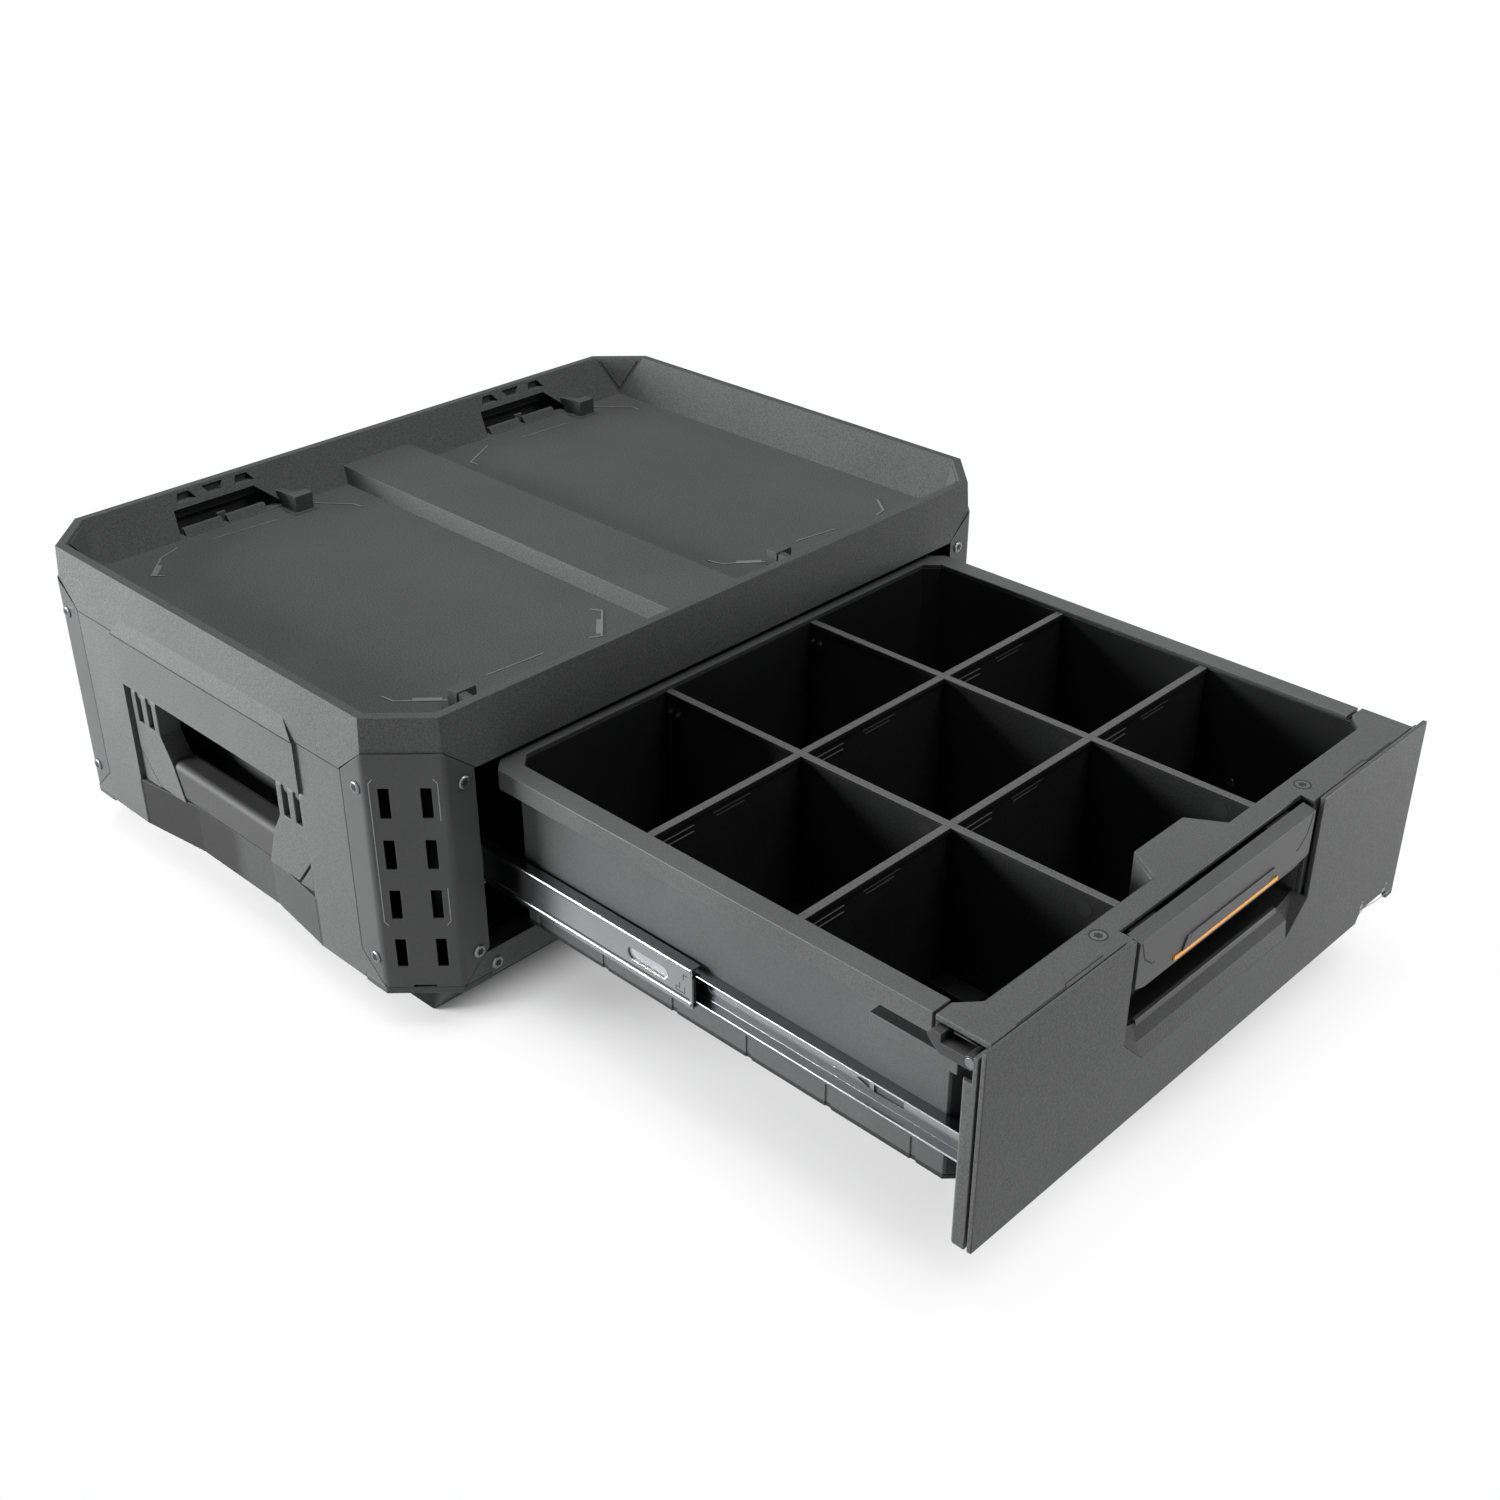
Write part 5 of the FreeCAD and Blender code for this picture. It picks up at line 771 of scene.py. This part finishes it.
seams = Parts()
for sx, sy in CORNERS:
    for line in SIDE_SEAMS:
        seams.stroke([(sx * HALF_W, sy * y, z) for y, z in line], width=0.8, normal=(sx, 0, 0), rise=0.06)
for sx in (-1, 1):
    seams.stroke([(sx * EAVE_X, y, COVER_Z) for y in (-EAVE_Y, EAVE_Y)],
                 width=0.9, normal=(sx, 0, 0), rise=0.06)
seams.done("panel_seams", "dark", "cabinet", bevel=0.0)

# Rolled edges and lines of the slides
RAIL_X, RAIL_Y = reach("right_slide_middle", HIGH, X), (-367.4, -19.0)
LIP_X, LIP_Y = reach("right_slide_inner", HIGH, X), (-559.0, -210.0)
BEAD_STEPS = 6
# Width of each line and its (y, z) points
RAIL_LINES = (
    (1.1, [(-366, 90.2), (-19, 90.2)]),
    (0.5, [(-364.5, 105), (-361.5, 105), (-361.5, 101.5)]),
    (0.5, [(-358.5, 98.5), (-358.5, 95), (-355.5, 95), (-355.5, 92.5), (-362.5, 92.5), (-362.5, 97)]),
)


def bead(parts, x, z, half, rise, ends):
    """Half-round bead along Y, standing outwards from the plane x."""
    outward = math.copysign(1, x)
    ring = []
    for i in range(BEAD_STEPS + 1):
        a = math.pi * (i / BEAD_STEPS - 0.5)
        stand = (rise + SINK) * math.cos(a) - SINK
        ring.append((x + outward * stand, ends[0], z + half * math.sin(a)))
    parts.slab(ring, (0, ends[1] - ends[0], 0))


for sx, side_name in SIDES:
    rail = side_name + "_middle_rail"
    beads = Parts()
    bead(beads, sx * RAIL_X, 87.4, half=1.6, rise=0.75, ends=RAIL_Y)
    bead(beads, sx * RAIL_X, 110.2, half=1.2, rise=0.55, ends=RAIL_Y)
    beads.done(side_name + "_rail_beads", "zinc", rail, bevel=0.0)
    # Dark lines on each middle rail: painted shade in a groove and round a pressed clip
    rail_lines = Parts()
    for width, line in RAIL_LINES:
        rail_lines.stroke([(sx * RAIL_X, y, z) for y, z in line],
                          width=width, normal=(sx, 0, 0), rise=0.05)
    rail_lines.done(side_name + "_rail_painted_shade_lines", "dark", rail, bevel=0.0)
    lips = Parts()
    for z in (89.1, 106.9):
        bead(lips, sx * LIP_X, z, half=0.6, rise=0.4, ends=LIP_Y)
    lips.done(side_name + "_slide_lips", "zinc", "drawer", bevel=0.0)

# Sloping surround of the pull recess, in two slopes that meet at a bend; the upper slope and the end facets
# are a darker plastic as painted shade under the paddle
FOOT_X, FOOT_Y, FOOT_Z = 74.7, -575.2, 91.1
BEND_X, BEND_Y, BEND_Z = 77.0, -572.6, 101.0
HEAD_X, HEAD_Y, HEAD_Z = 74.0, -567.0, 108.6
END_FOOT_X, END_FOOT_Z = 93.8, 110.2
END_HEAD_X, END_HEAD_Z = 90.6, 113.0

foot_edge = [(-FOOT_X, FOOT_Y, FOOT_Z), (FOOT_X, FOOT_Y, FOOT_Z)]
bend_edge = [(-BEND_X, BEND_Y, BEND_Z), (BEND_X, BEND_Y, BEND_Z)]
head_edge = [(-HEAD_X, HEAD_Y, HEAD_Z), (HEAD_X, HEAD_Y, HEAD_Z)]
surround = Parts()
surround.slab(foot_edge + bend_edge[::-1], (0, 1.4, -0.6))
shelf = Parts()
shelf.slab(bend_edge + head_edge[::-1], (0, 0.9, -1.2))
for sx in (-1, 1):
    foot = (sx * FOOT_X, FOOT_Y, FOOT_Z)
    bend = (sx * BEND_X, BEND_Y, BEND_Z)
    head = (sx * HEAD_X, HEAD_Y, HEAD_Z)
    end_foot = (sx * END_FOOT_X, FOOT_Y, END_FOOT_Z)
    end_head = (sx * END_HEAD_X, HEAD_Y, END_HEAD_Z)
    shelf.slab([foot, end_foot, end_head, bend], (sx * 0.9, 1.2, -0.5))
    shelf.slab([bend, end_head, head], (sx * 0.5, 1.2, -0.8))
surround.done("pull_surround", "front", "drawer", bevel=0.0)
shelf.done("pull_shelf_painted_shade", "shelf", "drawer", bevel=0.0)

# Lines on the dividers
CROSS_FACE_Y = (-436.0, -323.0)
CELL_X = (-128.0, 2.0, 135.0)
SCRIBED = ((-15.0, 15.5, 165.4), (-12.5, 10.5, 162.6))

scribed = Parts()
for y in CROSS_FACE_Y:
    for x in CELL_X:
        for start, end, z in SCRIBED:
            scribed.stroke([(x + start, y, z), (x + end, y, z)], width=0.55, normal=FACE, rise=0.25)
scribed.done("divider_lines", "mark", "drawer", bevel=0.0)


# Camera, fitted to the photograph

CAMERA_PLACE = (-0.7778, -0.9625, 0.7363)
CAMERA_RIGHT = (0.6931, -0.7209, 0.0)
CAMERA_BACK = (-0.6216, -0.5976, 0.5065)

cam_data = bpy.data.cameras.new("camera")
cam_data.lens = 44.856
cam_data.sensor_width = 36.0
cam_data.clip_start = 0.05
cam_data.clip_end = 60.0
camera = bpy.data.objects.new("camera", cam_data)
back = Vector(CAMERA_BACK).normalized()
up = back.cross(Vector(CAMERA_RIGHT).normalized()).normalized()
right = up.cross(back).normalized()
turn = Matrix((right, up, back)).transposed().to_4x4()
camera.matrix_world = Matrix.Translation(CAMERA_PLACE) @ turn
scene.collection.objects.link(camera)
scene.camera = camera


# Floor and background

# Middle and half size of a box on the floor, its fade distance and its least glow, in metres
CABINET_SHADE = ((0.0, 0.0, 0.0), (0.235, 0.165, 0.0), 0.055, 0.0)
DRAWER_SHADE = ((0.05, -0.34, 0.0), (0.20, 0.16, 0.0), 0.12, 0.45)
FLOOR_TONE, FLOOR_HALF = 0.9, 9.0
WORLD_LIGHT, WORLD_SEEN = 0.02, 1.0


def seen_directly(nt):
    """1 for camera, mirror and see-through rays, else 0."""
    path = add(nt, "ShaderNodeLightPath").outputs
    through = calc(nt, "MAXIMUM", path["Is Camera Ray"], path["Is Transmission Ray"])
    return calc(nt, "MAXIMUM", through, path["Is Glossy Ray"])


def lift(nt, place, centre, half, fade, least):
    """Least above a box on the floor, rising to 1 at the fade distance from it."""
    folded = vector(nt, "ABSOLUTE", vector(nt, "SUBTRACT", place, centre))
    outside = vector(nt, "MAXIMUM", vector(nt, "SUBTRACT", folded, half), (0.0, 0.0, 0.0))
    return mapped(nt, vector(nt, "LENGTH", outside), 0.0, fade, least, 1.0, "SMOOTHSTEP")


def blended(nt, factor, first, second):
    """Mix of two shaders."""
    node = add(nt, "ShaderNodeMixShader")
    for value, target in zip((factor, first, second), node.inputs):
        feed(nt, value, target)
    return node.outputs["Shader"]


def floor_material():
    """Pale floor that glows white away from the object, so that its shadow stays."""
    mat, nt = tree("mat_floor")
    place = add(nt, "ShaderNodeTexCoord").outputs["Object"]
    diffuse = add(nt, "ShaderNodeBsdfDiffuse", in_Color=grey(FLOOR_TONE))
    glow = add(nt, "ShaderNodeEmission")
    bright = calc(nt, "MULTIPLY", lift(nt, place, *CABINET_SHADE), lift(nt, place, *DRAWER_SHADE))
    share = calc(nt, "MULTIPLY", bright, seen_directly(nt))
    surface = blended(nt, share, diffuse.outputs["BSDF"], glow.outputs["Emission"])
    feed(nt, surface, add(nt, "ShaderNodeOutputMaterial").inputs["Surface"])
    return mat


floor_mesh = bpy.data.meshes.new("floor")
floor_square = [(x * FLOOR_HALF, y * FLOOR_HALF, 0) for x, y in ((-1, -1), (1, -1), (1, 1), (-1, 1))]
floor_mesh.from_pydata(floor_square, [], [[0, 1, 2, 3]])
floor_mesh.materials.append(floor_material())
floor = bpy.data.objects.new("floor", floor_mesh)
scene.collection.objects.link(floor)

world = bpy.data.worlds.new("world")
scene.world = world
world.use_nodes = True
sky = world.node_tree
sky.nodes.clear()
dim = add(sky, "ShaderNodeBackground", in_Color=grey(1), in_Strength=WORLD_LIGHT)
white = add(sky, "ShaderNodeBackground", in_Color=grey(1), in_Strength=WORLD_SEEN)
surface = blended(sky, seen_directly(sky), dim.outputs["Background"], white.outputs["Background"])
feed(sky, surface, add(sky, "ShaderNodeOutputWorld").inputs["Surface"])


# Lamps

# Name, place, target and size in metres, and power in watts
LAMPS = (
    ("key_left", (-1.9, 1.35, 0.55), (0, -0.1, 0.12), (1.2, 0.8), 150.0),
    ("top_soft", (0.1, 0.3, 2.6), (0, -0.1, 0), (1.4, 1.4), 55.0),
    ("front_fill", (0.5, -1.3, 2.4), (0, -0.1, 0.15), (1.0, 1.0), 26.0),
    ("right_front", (0.85, -1.15, 0.11), (0.20, -0.5755, 0.11), (0.5, 0.16), 7.0),
)

for name, place, target, size, power in LAMPS:
    data = bpy.data.lights.new(name, "AREA")
    data.shape = "RECTANGLE"
    data.size, data.size_y = size
    data.energy = power
    lamp = bpy.data.objects.new(name, data)
    aim = (Vector(target) - Vector(place)).to_track_quat("-Z", "Y")
    lamp.matrix_world = Matrix.Translation(place) @ aim.to_matrix().to_4x4()
    scene.collection.objects.link(lamp)

scene.view_settings.view_transform = "Standard"
